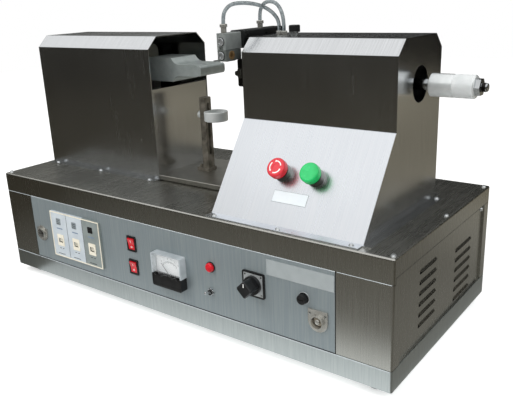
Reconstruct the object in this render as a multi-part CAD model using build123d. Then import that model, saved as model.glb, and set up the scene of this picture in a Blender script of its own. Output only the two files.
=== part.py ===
"""Bench-top tube sealing machine.

A stainless cabinet carries two sheet-metal towers on a bed plate. The left tower holds the
sealing stack with its horn, the right tower holds the air cylinder that pushes the anvil and
the trimming head to the horn. A nest ring on a post holds the tube between them.

Sizes are in millimetres. The machine is drawn with x from the left side of the cabinet, y from
its front face and z from the table. It is moved at the end so that the origin lies at the
bottom centre of its box. +X is to the right, +Y to the back, +Z up.
"""
import os
from math import atan2, cos, degrees, pi, radians, sin, sqrt, tan

from build123d import *

# Sheet metal
sheet = 1.5                  # stainless sheet of the cabinet and the towers
lap_gap = 0.3                # clearance where one sheet laps over another
bend_radius = 3.0            # outside radius of a folded edge

# Cabinet
base_overhang = 55.5         # how far the cabinet reaches beyond the right tower
base_depth = 370.0
cabinet_height = 196.0       # from the tray's underside to the deck
tray_height = 33.0
lid_front_lap = 36.0         # how far the lid folds down in front and behind
lid_side_lap = 27.0          # how far it folds down at the sides
seam = 0.8                   # open joint between tray, body and lid
foot_height = 16.0
foot_radius = 16.0
foot_inset = 36.0
cable_hole_radius = 15.0

# Side panels with louvres
post_width = 22.0            # front and rear edge of the side wall beside the panel
vent_sheet = 1.2
vent_lap = 8.0               # how far the panel reaches behind the edges of its opening
louvre_count = 6
louvre_pitch = 16.8
louvre_slot = 5.0
louvre_hood = 2.2            # how far a hood stands out
front_louvres = (90.0, 60.0, 58.0)    # start from the front, length, height of the lowest above the tray
rear_louvres = (228.0, 68.0, 41.2)

# Control panel
panel_left = 76.0
panel_right_margin = 86.0    # from the panel to the right side of the cabinet
panel_sheet = 1.5
panel_rim = 10.0             # width of the body's rim behind the panel's edge

# Towers
tower_front = 115.0
tower_depth = 151.0
tower_height = 259.0
tower_chamfer_run = 22.0
tower_chamfer_drop = 21.0
left_tower_start = 7.0
left_tower_length = 315.0
left_sill_height = 167.0     # top of the plate that closes the lower end of the left tower
right_tower_start = 530.0
right_tower_length = 264.5
knee_height = 133.0          # where the right tower's front turns forward
slant_foot_y = 22.4          # front edge of the sloping face, at the deck
slant_flange = 17.0
flange_width = 14.0
right_flange = (17.0, 262.0)  # where the right foot flange starts and ends
knob_hole_radius = 26.5

# Bed plate and tube nest
bed_height = 10.0
bed_lip_gap = 2.0            # shadow gap under the front lip
bed_start = 40.0
bed_end_inset = 24.5         # from the end of the bed plate to the end of the right tower
post_x = 374.0
post_thickness = 13.0
post_width_y = 17.5
post_height = 138.0
post_slot = 6.5
ring_outer_radius = 21.8
ring_bore_radius = 16.5
ring_height = 17.4
ring_drop = 75.0             # top of the ring below the sealing line
ring_clearance = 0.3         # between the ring and its post
nest_screw_head = 6.5

# Sealing line
seal_x = 405.0               # plane in which the tube is sealed
seal_height = 198.5          # sealing line above the deck
seal_gap = 1.0               # between horn and anvil at the end of the stroke
stroke = 75.0

# Horn, booster and converter
horn_length = 130.0
horn_width = 66.0
horn_half_height = 21.0
blade_half_height = 10.0
nose_half_height = 8.0
lip_half_height = 9.0
blade_length = 49.5
horn_arc = 20.5              # length of the concave step from body to blade
lip_length = 6.0
neck_length = 4.0
booster_rear_radius = 24.0
booster_front_radius = 17.0
booster_length = 118.0
booster_ring_radius = 31.0
booster_ring = 8.0
converter_radius = 29.0
converter_length = 122.0
clamp_thickness = 22.0
clamp_half_width = 44.0
clamp_foot = 24.0            # how far the foot reaches to each side of the clamp
clamp_foot_height = 12.0
clamp_gusset = 70.0
clamp_above_axis = 40.0
stack_stud_radius = 6.0
stack_stud = 14.0

# Air cylinder and ram
press_height = 191.5         # cylinder axis above the deck
cylinder_length = 161.5
cylinder_side = 74.0
cap_length = 24.0
barrel_radius = 34.0
rod_radius = 8.0
rod_fit = 0.05               # running clearance of a rod in its bore
guide_radius = 7.0
guide_spread = 50.0          # from the cylinder axis to each guide rod
guide_length = 132.0
bracket_thickness = 15.0
bracket_reach = 62.0         # half width of the bracket
bracket_above_axis = 30.0
bracket_foot = 60.0
bracket_foot_height = 12.0
bracket_gusset = 90.0        # height of the gussets above the bed plate
bracket_gap = 30.0           # between the bracket and the ram plate, ram drawn back
ram_thickness = 10.0
ram_half_width = 60.0
ram_below_axis = 36.0
ram_above_axis = 50.5
ram_clearance = 0.5          # from the ram plate to the tower wall

# Stroke adjuster
stop_clearance = 0.3         # left between adjuster and cylinder at the end of the stroke
knob_radius = 16.5
knob_sleeve = 33.5
knob_knurl = 30.5
knurl_relief = 0.4
nut_flats = 22.0
nut_thickness = 7.5
stud_radius = 6.0
stud_length = 8.5

# Anvil
anvil_reach = 6.5            # nose in front of the holder
anvil_nose = 6.5
anvil_base = 8.0
anvil_base_height = 16.0
anvil_clearance = 0.15       # per side in the holder's groove
holder_height = 45.0
holder_above_seal = 23.5

# Trimming head
trim_x = 488.0
trim_width = 17.5
trim_y = 106.0
trim_cap_length = 42.0
trim_drop = 1.0              # underside of the trimming cylinder below the ram's top
trim_height = 26.0
trim_body_length = 114.0
trim_body_side = 5.0         # how far the body is wider than the cap on each side
trim_body_rise = 2.0
trim_shelf_height = 15.0
trim_shelf_half_width = 38.0
groove_width = 8.0
groove_depth = 5.0
slide_clearance = 0.3
slide_length = 40.0
slide_drop = 17.0            # underside of the slide below the trimming cylinder
knife_stroke = 92.0
knife_thickness = 1.2
knife_width = 22.0
knife_reach = 14.0           # how far the knife stands out to the left of its slide
bush_radius = 7.0
bush_bore = 4.5
bush_length = 6.0
bush_y = 121.0

# Air hoses and their fittings
hose_radius = 3.0
fitting_x = 498.0
front_fitting_y = 113.0
rear_fitting_y = 210.0
fitting_body_radius = 4.5
fitting_ring_radius = 6.0
fitting_rise = 14.0          # above the end block of the trimming cylinder
fitting_ring = 5.0
roof_fittings_at = ((545.0, 199.0), (556.0, 196.0))
roof_fitting_height = 6.0
roof_ring_radius = 5.4
front_hose_corners = (        # distance along the plan line, height above the table
    (0.0, 505.6), (6.3, 516.5), (17.2, 522.8), (39.0, 523.2), (60.5, 519.6), (77.0, 513.0), (89.6, 503.5))
rear_hose_corners = ((0.0, 505.6), (6.3, 516.5), (17.2, 522.8), (34.0, 523.0), (47.0, 517.5), (56.0, 505.5))
hose_last_corner = 491.0      # height of the corner above the roof fitting
valve_x = 585.0
valve_y = 183.0
valve_size = 14.0
valve_base = 5.0
valve_height = 11.0

# Front panel controls: x from the left or from the panel's right edge, height from the panel's middle
timer_left = 139.5
timer_low = -45.0            # lower edge
timer_width = 46.0
timer_height = 88.0
timer_count = 3
timer_bezel = 4.0
timer_depth = 60.0
timer_border = 1.5
wheel_radius = 11.0
wheel_width = 5.6
wheel_gap = 0.6
wheel_pin_radius = 1.5
wheel_window = 14.0
wheel_height = 33.0          # wheel centre above the lower edge of a timer
rocker_x = 349.0
rocker_width = 21.5
rocker_height = 28.0
upper_rocker_rise = 20.0
lower_rocker_rise = -23.5
rocker_bezel = 2.0
rocker_body = 22.0
rocker_tilt = 9.0
rocker_gap = 0.3
pivot_pin_radius = 0.6        # pivots of the rockers and of the toggle lever
pivot_depth = 1.5            # rocker's pivot behind its face
meter_left = 418.5
meter_width = 66.0
meter_low = -36.5
meter_height = 59.0
meter_depth = 14.0
meter_wall = 2.0
meter_barrel_radius = 25.0
meter_barrel = 28.0
meter_cover = 22.0           # height of the scalloped lower cover
lamp_x = 539.5
lamp_rise = 18.0
lamp_radius = 8.75
lamp_height = 9.0
toggle_x = 537.0
toggle_rise = -25.5
toggle_bush_radius = 6.0
toggle_bush = 5.0
toggle_lever = 14.0
toggle_tilt = 14.0
toggle_pivot = 2.5           # in front of the panel's face
selector_from_edge = 160.5
selector_low = -11.0
selector_side = 41.0
selector_plate = 2.5
selector_skirt_radius = 15.0
selector_height = 24.0
fuse_from_edge = 51.3
fuse_rise = 10.3
fuse_radius = 8.5
fuse_flange = 2.0
fuse_cap_height = 7.0
left_socket_from_edge = 25.0
left_socket_rise = -10.0
left_socket_size = (31.0, 26.0)
right_socket_from_edge = 28.0
right_socket_rise = -20.5
right_socket_size = (32.0, 34.0)
socket_flange = 2.0
socket_collar = 6.0
socket_bore_radius = 9.0
socket_depth = 14.0
body_fit = 0.2               # clearance round anything that passes through a panel

# Push buttons on the sloping face
button_start = 106.0         # from the left edge of the sloping panel to the stop button
button_pitch = 57.0
button_slant = 82.0          # up the slope from its foot
button_collar_radius = 14.0
button_collar = 10.0
button_stem_radius = 8.0
button_head_radius = 15.5
button_head = 10.0
button_travel = 5.0
button_body = 30.0
button_hole_radius = 11.0

# Rear connections
inlet_x = 160.0
inlet_z = 80.0
inlet_width = 48.0
inlet_height = 28.0
inlet_flange = 3.0
inlet_depth = 24.0
air_inlet_from_right = 150.0
air_inlet_z = 70.0
air_hex_flats = 19.0
air_hex = 8.0
air_nipple_radius = 5.0
air_nipple = 22.0

# Inside the cabinet
generator_size = (240.0, 170.0, 90.0)
generator_x = 200.0
generator_y = 150.0
valve_block_size = (70.0, 40.0, 45.0)
valve_block_x = 600.0
valve_block_y = 230.0

# Dome screws
screw_head_radius = 4.0
screw_head = 2.4
screw_radius = 2.0
screw_length = 6.0

# Levels and lines that follow from the sizes above
right_tower_end_x = right_tower_start + right_tower_length
base_length = right_tower_end_x + base_overhang
panel_right = base_length - panel_right_margin
tray_bottom = foot_height
tray_top = tray_bottom + tray_height
deck = tray_bottom + cabinet_height
lid_front_edge = deck - lid_front_lap
lid_side_edge = deck - lid_side_lap
band = 2 * sheet + lap_gap
bed_top = deck + bed_height
tower_top = deck + tower_height
tower_back = tower_front + tower_depth
axis_y = tower_front + tower_depth / 2
seal_z = deck + seal_height
press_z = deck + press_height
left_tower_end_x = left_tower_start + left_tower_length
bed_end = right_tower_end_x - bed_end_inset
ring_top = seal_z - ring_drop
holder_top = seal_z + holder_above_seal
ram_top = press_z + ram_above_axis
trim_bottom = ram_top - trim_drop
trim_top = trim_bottom + trim_height
slide_bottom = trim_bottom - slide_drop
fitting_top = trim_top + fitting_rise
horn_tip = seal_x - seal_gap / 2
horn_rear = horn_tip - horn_length
booster_rear = horn_rear - booster_length
anvil_tip = seal_x + seal_gap / 2 + stroke
holder_face = anvil_tip + anvil_reach
ram_back = right_tower_start - ram_clearance
ram_face = ram_back - ram_thickness
bracket_face = ram_back + bracket_gap
cylinder_front = bracket_face + bracket_thickness
cylinder_rear = cylinder_front + cylinder_length
knob_face = cylinder_rear + stroke + stop_clearance
knob_end = knob_face + knob_sleeve + knob_knurl
nut_end = knob_end + nut_thickness
stud_end = nut_end + stud_length
slant_tilt = degrees(atan2(tower_front - slant_foot_y, knee_height))
slant_length = sqrt((tower_front - slant_foot_y) ** 2 + knee_height ** 2)
right_tower_middle = right_tower_start + right_tower_length / 2
panel_face = lap_gap
panel_middle = (tray_top + lid_front_edge) / 2
timer_bottom = panel_middle + timer_low
upper_rocker_z = panel_middle + upper_rocker_rise
lower_rocker_z = panel_middle + lower_rocker_rise
meter_bottom = panel_middle + meter_low
lamp_z = panel_middle + lamp_rise
toggle_z = panel_middle + toggle_rise
selector_left = panel_right - selector_from_edge
selector_bottom = panel_middle + selector_low
fuse_x = panel_right - fuse_from_edge
fuse_z = panel_middle + fuse_rise
left_socket_x = panel_left + left_socket_from_edge
left_socket_z = panel_middle + left_socket_rise
right_socket_x = panel_right - right_socket_from_edge
right_socket_z = panel_middle + right_socket_rise
button_left = right_tower_start + button_start
air_inlet_x = base_length - air_inlet_from_right
meter_middle = meter_left + meter_width / 2
front_reach = selector_plate + selector_height - panel_face
rear_reach = air_hex + air_nipple
vent_screw_y = base_depth - post_width - 8
vent_screw_z = lid_side_edge - seam - 6
origin_x = stud_end / 2
origin_y = (base_depth + rear_reach - front_reach) / 2


def block(x0, x1, y0, y1, z0, z1):
    """A box between two opposite corners."""
    centre = Pos((x0 + x1) / 2, (y0 + y1) / 2, (z0 + z1) / 2)
    return centre * Box(x1 - x0, y1 - y0, z1 - z0)


def bar_x(radius, x0, x1, y, z):
    """A round bar along X."""
    return Pos((x0 + x1) / 2, y, z) * Rot(0, 90, 0) * Cylinder(radius, x1 - x0)


def bar_y(radius, y0, y1, x, z):
    """A round bar along Y."""
    return Pos(x, (y0 + y1) / 2, z) * Rot(90, 0, 0) * Cylinder(radius, y1 - y0)


def bar_z(radius, z0, z1, x, y):
    """A round bar along Z."""
    return Pos(x, y, (z0 + z1) / 2) * Cylinder(radius, z1 - z0)


def prism_x(points, x0, x1):
    """A closed outline of (y, z) points carried along X."""
    face = make_face(Plane.YZ.offset(x0) * Polyline(*points, close=True))
    return extrude(face, amount=x1 - x0, dir=(1, 0, 0))


def prism_y(points, y0, y1):
    """A closed outline of (x, z) points carried along Y."""
    face = make_face(Plane.XZ.offset(-y0) * Polyline(*points, close=True))
    return extrude(face, amount=y1 - y0, dir=(0, 1, 0))


def on_front(x, z, out=0.0):
    """A frame on the control panel's face: local Z points out of the panel, local Y up."""
    return Pos(x, panel_face - out, z) * Rot(90, 0, 0)


def on_rear(x, z):
    """A frame on the rear wall: local Z points backwards, local Y up."""
    return Pos(x, base_depth, z) * Rot(0, 0, 180) * Rot(90, 0, 0)


def on_slant(x, up_slope, out=0.0):
    """A frame on the sloping face: local Z points out of it, local Y up the slope."""
    foot = Pos(x, slant_foot_y, deck) * Rot(90 - slant_tilt, 0, 0)
    return foot * Pos(0, up_slope, out)


def group(*shapes):
    """Separate solids that share one file."""
    return Compound(children=[solid for shape in shapes for solid in shape.solids()])


def rounded_plate(width, height, thickness, radius):
    """A plate with round corners that stands on local Z = 0."""
    return extrude(RectangleRounded(width, height, radius), amount=thickness)


def outline_inset(points, amount):
    """The outline moved inwards by a wall's thickness."""
    face = make_face(Polyline(*points, close=True))
    return offset(face, amount=-amount, kind=Kind.INTERSECTION)


# Cabinet

def base_tray():
    """Open tray that forms the skirt of the cabinet, with holes for the feet's screws."""
    outer = block(0, base_length, 0, base_depth, tray_bottom, tray_top)
    outer = fillet(outer.edges().filter_by(Axis.Z), bend_radius)
    inner = block(sheet, base_length - sheet, sheet, base_depth - sheet, tray_bottom + sheet, tray_top + 1)
    tray = outer - inner
    for x, y in foot_places():
        tray -= bar_z(screw_radius + body_fit, tray_bottom - 1, tray_bottom + sheet + 1, x, y)
    return tray


def foot_places():
    """Plan positions of the four feet."""
    for x in (foot_inset, base_length - foot_inset):
        for y in (foot_inset, base_depth - foot_inset):
            yield x, y


def rubber_feet():
    """Four tapered rubber feet, each with the stub that locates it in the tray."""
    feet = []
    for x, y in foot_places():
        foot = Pos(x, y, 0) * extrude(Circle(foot_radius), amount=foot_height, taper=6)
        stub = bar_z(screw_radius, foot_height, foot_height + sheet + 2, x, y)
        feet.append(Rot(0, 0, 0) * (foot + stub))
    return group(*feet)


def cabinet_body():
    """Wall ring between tray and lid. Its inner layer laps up into the lid and down into the tray."""
    inset = sheet + lap_gap
    inner_layer = block(inset, base_length - inset, inset, base_depth - inset, tray_bottom + sheet, deck - sheet)
    band_front = block(0, base_length, 0, base_depth, tray_top + seam, lid_front_edge - seam)
    corner = bend_radius + sheet + seam
    band_sides = block(0, base_length, corner, base_depth - corner, tray_top + seam, lid_side_edge - seam)
    band_front = fillet(band_front.edges().filter_by(Axis.Z), bend_radius)
    ring = inner_layer + band_front + band_sides
    ring -= block(band, base_length - band, band, base_depth - band, tray_bottom, deck)
    ring -= block(panel_left, panel_right, -1, inset, tray_top, lid_front_edge)
    window = (panel_left + panel_rim, panel_right - panel_rim, -1, band + 1)
    ring -= block(*window, tray_top + panel_rim, lid_front_edge - panel_rim)
    ring -= block(-1, base_length + 1, post_width, base_depth - post_width, tray_top + seam, lid_side_edge - seam)
    ring -= rear_openings()
    return ring


def rear_openings():
    """Holes of the mains inlet and of the air inlet in the rear wall."""
    mains = block(
        inlet_x - inlet_width / 2 + inlet_flange,
        inlet_x + inlet_width / 2 - inlet_flange,
        base_depth - band - 1,
        base_depth + 1,
        inlet_z - inlet_height / 2 + inlet_flange,
        inlet_z + inlet_height / 2 - inlet_flange,
    )
    air = bar_y(air_nipple_radius + body_fit, base_depth - band - 1, base_depth + 1, air_inlet_x, air_inlet_z)
    return mains + air


def top_cover():
    """Folded lid with the deck. Holes under the towers let cables and hoses through."""
    outer = block(0, base_length, 0, base_depth, lid_front_edge, deck)
    outer = fillet(outer.edges().filter_by(Axis.Z) + outer.edges().group_by(Axis.Z)[-1], bend_radius)
    inner = block(sheet, base_length - sheet, sheet, base_depth - sheet, lid_front_edge - 1, deck - sheet)
    lid = outer - inner
    side_clear = block(-1, base_length + 1, bend_radius + sheet, base_depth - bend_radius - sheet, 0, lid_side_edge)
    lid -= side_clear
    for x in (left_tower_start + 50, right_tower_end_x - 50):
        lid -= bar_z(cable_hole_radius, deck - sheet - 1, deck + 1, x, axis_y)
    for x, y in screw_places():
        lid -= bar_z(screw_radius + body_fit / 2, deck - sheet - 1, deck + 1, x, y)
    return lid


def vent_panel(side):
    """Louvred panel behind the opening of a side wall. Side is -1 for left and 1 for right."""
    wall = base_length / 2 - band
    y0 = post_width - vent_lap
    y1 = base_depth - post_width + vent_lap
    z0 = tray_top - vent_lap
    z1 = lid_side_edge + vent_lap
    panel = block(wall - vent_sheet, wall, y0, y1, z0, z1)
    for start, length, lowest in (front_louvres, rear_louvres):
        for row in range(louvre_count):
            z = tray_bottom + lowest + row * louvre_pitch
            middle = start + length / 2
            slot = Plane.YZ.offset(wall - vent_sheet - 1) * Pos(middle, z) * SlotOverall(length, louvre_slot)
            panel -= extrude(slot, amount=vent_sheet + 2, dir=(1, 0, 0))
            panel += louvre_hood_shape(wall, middle, length, z)
    panel -= bar_x(screw_radius + body_fit / 2, wall - 5, wall + 1, vent_screw_y, vent_screw_z)
    panel = Pos(base_length / 2, 0, 0) * panel
    if side < 0:
        panel = panel.mirror(Plane.YZ.offset(base_length / 2))
    return panel


def louvre_hood_shape(wall, middle, length, z):
    """Pressed hood that leans out over a slot: a thin wedge along its upper edge."""
    top = z + louvre_slot / 2
    section = [
        (wall, top + louvre_hood),
        (wall + louvre_hood, top - louvre_hood * 0.6),
        (wall + louvre_hood * 0.6, top - louvre_hood * 0.6),
        (wall, top),
    ]
    half = length / 2 - louvre_slot / 2
    return prism_y(section, middle - half, middle + half)


def vent_panels():
    """The left and the right louvred panel."""
    return group(vent_panel(-1), vent_panel(1))


# Control panel

def control_panel():
    """Brushed plate in the front of the cabinet, cut out for every control."""
    z0 = tray_top + seam
    z1 = lid_front_edge - seam
    plate = block(panel_left + seam, panel_right - seam, panel_face, panel_face + panel_sheet, z0, z1)
    bank = timer_count * timer_width
    cuts = on_front(timer_left + bank / 2, timer_bottom + timer_height / 2) * hole_box(
        bank - 2 * timer_bezel, timer_height - 2 * timer_bezel)
    for z in (upper_rocker_z, lower_rocker_z):
        cuts += on_front(rocker_x + rocker_width / 2, z) * hole_box(
            rocker_width - 2 * rocker_bezel + 2 * body_fit, rocker_height - 2 * rocker_bezel + 2 * body_fit)
    for x, z, radius in round_controls():
        cuts += on_front(x, z) * Cylinder(radius + body_fit, 4 * panel_sheet)
    return plate - cuts


def hole_box(width, height):
    """Cutter for a rectangular hole through the control panel."""
    return Box(width, height, 4 * panel_sheet)


def round_controls():
    """Centre and barrel radius of every control that passes through a round hole."""
    half = selector_side / 2
    return [
        (meter_middle, meter_bottom + meter_height / 2, meter_barrel_radius),
        (lamp_x, lamp_z, lamp_radius - 1),
        (toggle_x, toggle_z, toggle_bush_radius - 1.5),
        (selector_left + half, selector_bottom + half, selector_skirt_radius - 6),
        (fuse_x, fuse_z, fuse_radius - 2),
        (left_socket_x, left_socket_z, socket_bore_radius + 1.5),
        (right_socket_x, right_socket_z, socket_bore_radius + 1.5),
    ]


def timer_bank():
    """Three plug-in timers side by side in one frame. Each has a window for two digit wheels."""
    bank = timer_count * timer_width
    middle = timer_left + bank / 2
    frame = rounded_plate(bank + 2 * timer_border, timer_height + 2 * timer_border, timer_bezel, 2)
    frame -= Pos(0, 0, timer_bezel / 2) * Box(bank, timer_height, timer_bezel + 2)
    solids = [on_front(middle, timer_bottom + timer_height / 2) * frame]
    for index in range(timer_count):
        x = timer_left + (index + 0.5) * timer_width
        face = Pos(0, 0, timer_bezel / 2) * Box(timer_width - 0.2, timer_height - 0.2, timer_bezel)
        face = chamfer(face.edges().group_by(Axis.Z)[-1], 0.6)
        body = Pos(0, 0, -timer_depth / 2)
        body *= Box(timer_width - 2 * timer_bezel - 1, timer_height - 2 * timer_bezel - 1, timer_depth)
        timer = face + body
        pocket = wheel_window_width()
        timer -= Pos(0, wheel_height - timer_height / 2, 0) * Box(pocket, wheel_window, 2 * timer_bezel + 2)
        timer -= Pos(0, wheel_height - timer_height / 2, -wheel_radius) * Box(
            pocket, 2 * wheel_radius + 2, 2 * wheel_radius + 2 * timer_bezel - 3)
        pin = Pos(0, wheel_height - timer_height / 2, -wheel_centre_depth()) * Rot(0, 90, 0)
        timer += pin * Cylinder(wheel_pin_radius, pocket + 2)
        solids.append(on_front(x, timer_bottom + timer_height / 2) * timer)
    return group(*solids)


def wheel_window_width():
    """Width of the pocket that holds the two digit wheels of a timer."""
    return 2 * wheel_width + 3 * wheel_gap


def digit_wheel(timer, place):
    """Ten-sided digit wheel of a timer. Place 0 is the tens wheel, 1 the units wheel."""
    x = timer_left + (timer + 0.5) * timer_width + (place - 0.5) * (wheel_width + wheel_gap)
    y = panel_face + wheel_centre_depth()
    z = timer_bottom + wheel_height
    wheel = Plane.YZ * RegularPolygon(wheel_radius, 10, major_radius=True)
    wheel = Pos(-wheel_width / 2, 0, 0) * Rot(18, 0, 0) * extrude(wheel, amount=wheel_width, dir=(1, 0, 0))
    wheel -= Rot(0, 90, 0) * Cylinder(wheel_pin_radius + rod_fit, wheel_width + 2)
    return Pos(x, y, z) * wheel


def wheel_centre_depth():
    """How far a digit wheel's centre lies behind the panel's face."""
    return wheel_radius - timer_bezel + 1.0


def rocker_housing(z):
    """Bezel and body of a rocker switch, open in front for the rocker."""
    bezel = rounded_plate(rocker_width, rocker_height, rocker_bezel, 1)
    width = rocker_width - 2 * rocker_bezel
    height = rocker_height - 2 * rocker_bezel
    body = Pos(0, 0, -rocker_body / 2) * Box(width, height, rocker_body)
    pocket = Pos(0, 0, rocker_bezel - 4) * Box(width - 2, height - 2, 8.1)
    pin = Pos(0, 0, rocker_pivot_height()) * Rot(0, 90, 0) * Cylinder(pivot_pin_radius, width)
    return on_front(rocker_x + rocker_width / 2, z) * (bezel + body - pocket + pin)


def rocker_pivot_height():
    """Pivot of a rocker in front of the panel's face."""
    return rocker_bezel - 0.4 - pivot_depth


def toggle_bush_shape():
    """Hexagonal nut and threaded bush of the toggle switch, with its body behind the panel."""
    nut = extrude(RegularPolygon(toggle_bush_radius, 6), amount=2)
    bush = Pos(0, 0, toggle_bush / 2) * Cylinder(toggle_bush_radius - 1.7, toggle_bush)
    barrel = Pos(0, 0, -5) * Cylinder(toggle_bush_radius - 1.7, 10)
    body = Pos(0, 0, -14) * Box(12, 13, 16)
    hollow = Pos(0, 0, 2) * Cylinder(2.9, 10)
    pin = Pos(0, 0, toggle_pivot) * Rot(0, 90, 0) * Cylinder(pivot_pin_radius, 6.6)
    return on_front(toggle_x, toggle_z) * (nut + bush + barrel + body - hollow + pin)


def switch_bodies():
    """Housings of the two rocker switches and of the toggle switch."""
    return group(rocker_housing(upper_rocker_z), rocker_housing(lower_rocker_z), toggle_bush_shape())


def rocker(z):
    """Rocker pressed in at its lower half, shown in its resting position."""
    width = rocker_width - 2 * rocker_bezel - 2 - 2 * rocker_gap
    height = rocker_height - 2 * rocker_bezel - 2 - 5 * rocker_gap
    half = height / 2
    section = [(-3.0, -half), (1.2, -half), (0.4, 0), (1.2, half), (-3.0, half)]
    outline = [(y, -out) for out, y in section]
    face = make_face(Plane.YZ * Polyline(*[(z_out, up) for up, z_out in outline], close=True))
    lever = extrude(face, amount=width / 2, both=True)
    lever = Pos(0, -pivot_depth, 0) * lever - Rot(0, 90, 0) * Cylinder(pivot_pin_radius + rod_fit, width + 2)
    return Pos(rocker_x + rocker_width / 2, panel_face - rocker_pivot_height(), z) * Rot(rocker_tilt, 0, 0) * lever


def meter_case():
    """Square moving-coil meter: housing open in front, scalloped lower cover, barrel behind."""
    outer = rounded_plate(meter_width, meter_height, meter_depth, 3)
    inner = Pos(0, meter_wall / 2 + 1, meter_depth / 2 + 3)
    inner *= Box(meter_width - 2 * meter_wall, meter_height - 3 * meter_wall, meter_depth)
    housing = outer - inner
    cover = Pos(0, -meter_height / 2 + meter_cover / 2, meter_depth / 2)
    cover *= Box(meter_width - 2 * meter_wall, meter_cover, meter_depth - 1)
    cover -= Pos(0, -meter_height / 2 + meter_cover, meter_depth / 2 - 3) * Box(20, 16, meter_depth - 4)
    for offset_x in (-24, 24):
        cover += Pos(offset_x, -meter_height / 2 + meter_cover, meter_depth - 1.5) * Cylinder(3.8, 2)
    for offset_x in (-12, 12):
        cover -= Pos(offset_x, -meter_height / 2 + meter_cover + 1, meter_depth / 2 + 3) * Cylinder(4, meter_depth)
    barrel = Pos(0, 0, -meter_barrel / 2) * Cylinder(meter_barrel_radius, meter_barrel)
    pivot = Pos(0, meter_pivot_height(), meter_depth / 2 - 3) * Cylinder(2.5, 2)
    return on_front(meter_middle, meter_bottom + meter_height / 2) * (housing + cover + barrel + pivot)


def meter_pivot_height():
    """Pivot of the needle, measured up from the meter's centre."""
    return meter_cover - meter_height / 2 - 2


def meter_needle():
    """Thin pointer with its hub, resting at the left end of the scale."""
    arm = Pos(0, 13, 0) * Box(0.9, 26, 0.5)
    hub = Cylinder(2.2, 1.2)
    tail = Pos(0, -2.5, 0) * Box(1.6, 3, 0.5)
    needle = Rot(0, 0, 42) * (arm + hub + tail)
    z = meter_bottom + meter_height / 2 + meter_pivot_height()
    return on_front(meter_middle, z, meter_depth / 2 - 1) * needle


def meter_window():
    """Clear front pane of the meter, above the lower cover."""
    height = meter_height - meter_cover - 7
    pane = Pos(0, meter_cover / 2 + 0.5, meter_depth - 1)
    pane *= Box(meter_width - 2 * meter_wall - 0.2, height, 1.2)
    return on_front(meter_middle, meter_bottom + meter_height / 2) * pane


def pilot_lamp():
    """Indicator lamp: bezel ring, domed lens and the body behind the panel."""
    bezel = Pos(0, 0, 1) * Cylinder(lamp_radius, 2)
    dome = Pos(0, 0, 2) * extrude(Circle(lamp_radius - 1.2), amount=lamp_height - 4)
    dome = fillet(dome.edges().group_by(Axis.Z)[-1], 3)
    body = Pos(0, 0, -11) * Cylinder(lamp_radius - 1, 22)
    return on_front(lamp_x, lamp_z) * (bezel + dome + body)


def toggle_lever_shape():
    """Bat lever of the toggle switch: a ball in the bush and a tapering arm."""
    arm = extrude(Circle(1.5), amount=toggle_lever, taper=-3)
    arm = fillet(arm.edges().group_by(Axis.Z)[-1], 1.0)
    lever = arm + Sphere(2.6) - Rot(0, 90, 0) * Cylinder(pivot_pin_radius + rod_fit, 8)
    return on_front(toggle_x, toggle_z, toggle_pivot) * Rot(-toggle_tilt, 0, 0) * lever


def selector_plate_shape():
    """Square escutcheon of the rotary switch, with the switch body behind the panel."""
    half = selector_side / 2
    plate = rounded_plate(selector_side, selector_side, selector_plate, 3)
    shaft = Pos(0, 0, -14) * Cylinder(selector_skirt_radius - 6, 28)
    body = Pos(0, 0, -38) * Box(36, 36, 30)
    bore = Pos(0, 0, 0) * Cylinder(3.05, 12)
    return on_front(selector_left + half, selector_bottom + half) * (plate + shaft + body - bore)


def selector_knob():
    """Rotary knob: a round skirt with a square grip set cornerwise, and its spindle."""
    half = selector_side / 2
    skirt = extrude(Circle(selector_skirt_radius), amount=5)
    grip = Pos(0, 0, 5) * extrude(Rot(0, 0, 45) * RectangleRounded(21, 21, 3), amount=selector_height - 5.3)
    grip = chamfer(grip.edges().group_by(Axis.Z)[-1], 1.5)
    spindle = Pos(0, 0, -2.5) * Cylinder(3.0, 5)
    frame = on_front(selector_left + half, selector_bottom + half, selector_plate + 0.3)
    return frame * (skirt + grip + spindle)


def fuse_holder():
    """Panel fuse holder: flange, barrel behind the panel and the bore for its cap."""
    flange = Pos(0, 0, fuse_flange / 2) * Cylinder(fuse_radius, fuse_flange)
    barrel = Pos(0, 0, -17) * Cylinder(fuse_radius - 2, 34)
    bore = Pos(0, 0, -4) * Cylinder(fuse_radius - 3.5, 16)
    return on_front(fuse_x, fuse_z) * (flange + barrel - bore)


def fuse_cap():
    """Bayonet cap of the fuse holder, with a coin slot."""
    head = Pos(0, 0, fuse_flange + 0.3) * extrude(Circle(fuse_radius - 1), amount=fuse_cap_height)
    head = fillet(head.edges().group_by(Axis.Z)[-1], 1.5)
    plug = Pos(0, 0, -2) * Cylinder(fuse_radius - 3.55, 9)
    slot = Pos(0, 0, fuse_flange + fuse_cap_height) * Box(9, 1.4, 2.4)
    return on_front(fuse_x, fuse_z) * (head + plug - slot)


def socket(width, height):
    """Flanged round socket: flat top, rounded bottom, raised collar and open bore."""
    radius = width / 2
    rim = Pos(0, radius / 2) * Rectangle(width, height - radius)
    rim += Pos(0, radius - height / 2) * Circle(radius)
    flange = extrude(rim, amount=socket_flange)
    middle = Pos(0, radius - height / 2, 0)
    collar = middle * extrude(Circle(socket_bore_radius + 1.5), amount=socket_collar)
    barrel = middle * Pos(0, 0, -10) * Cylinder(socket_bore_radius + 1.5, 20)
    bore = middle * Pos(0, 0, socket_collar - socket_depth / 2 + 0.5) * Cylinder(socket_bore_radius, socket_depth + 1)
    return flange + collar + barrel - bore


def socket_centre_shift(size):
    """Height of a socket's bore above the centre of its flange."""
    width, height = size
    return width / 2 - height / 2


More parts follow.
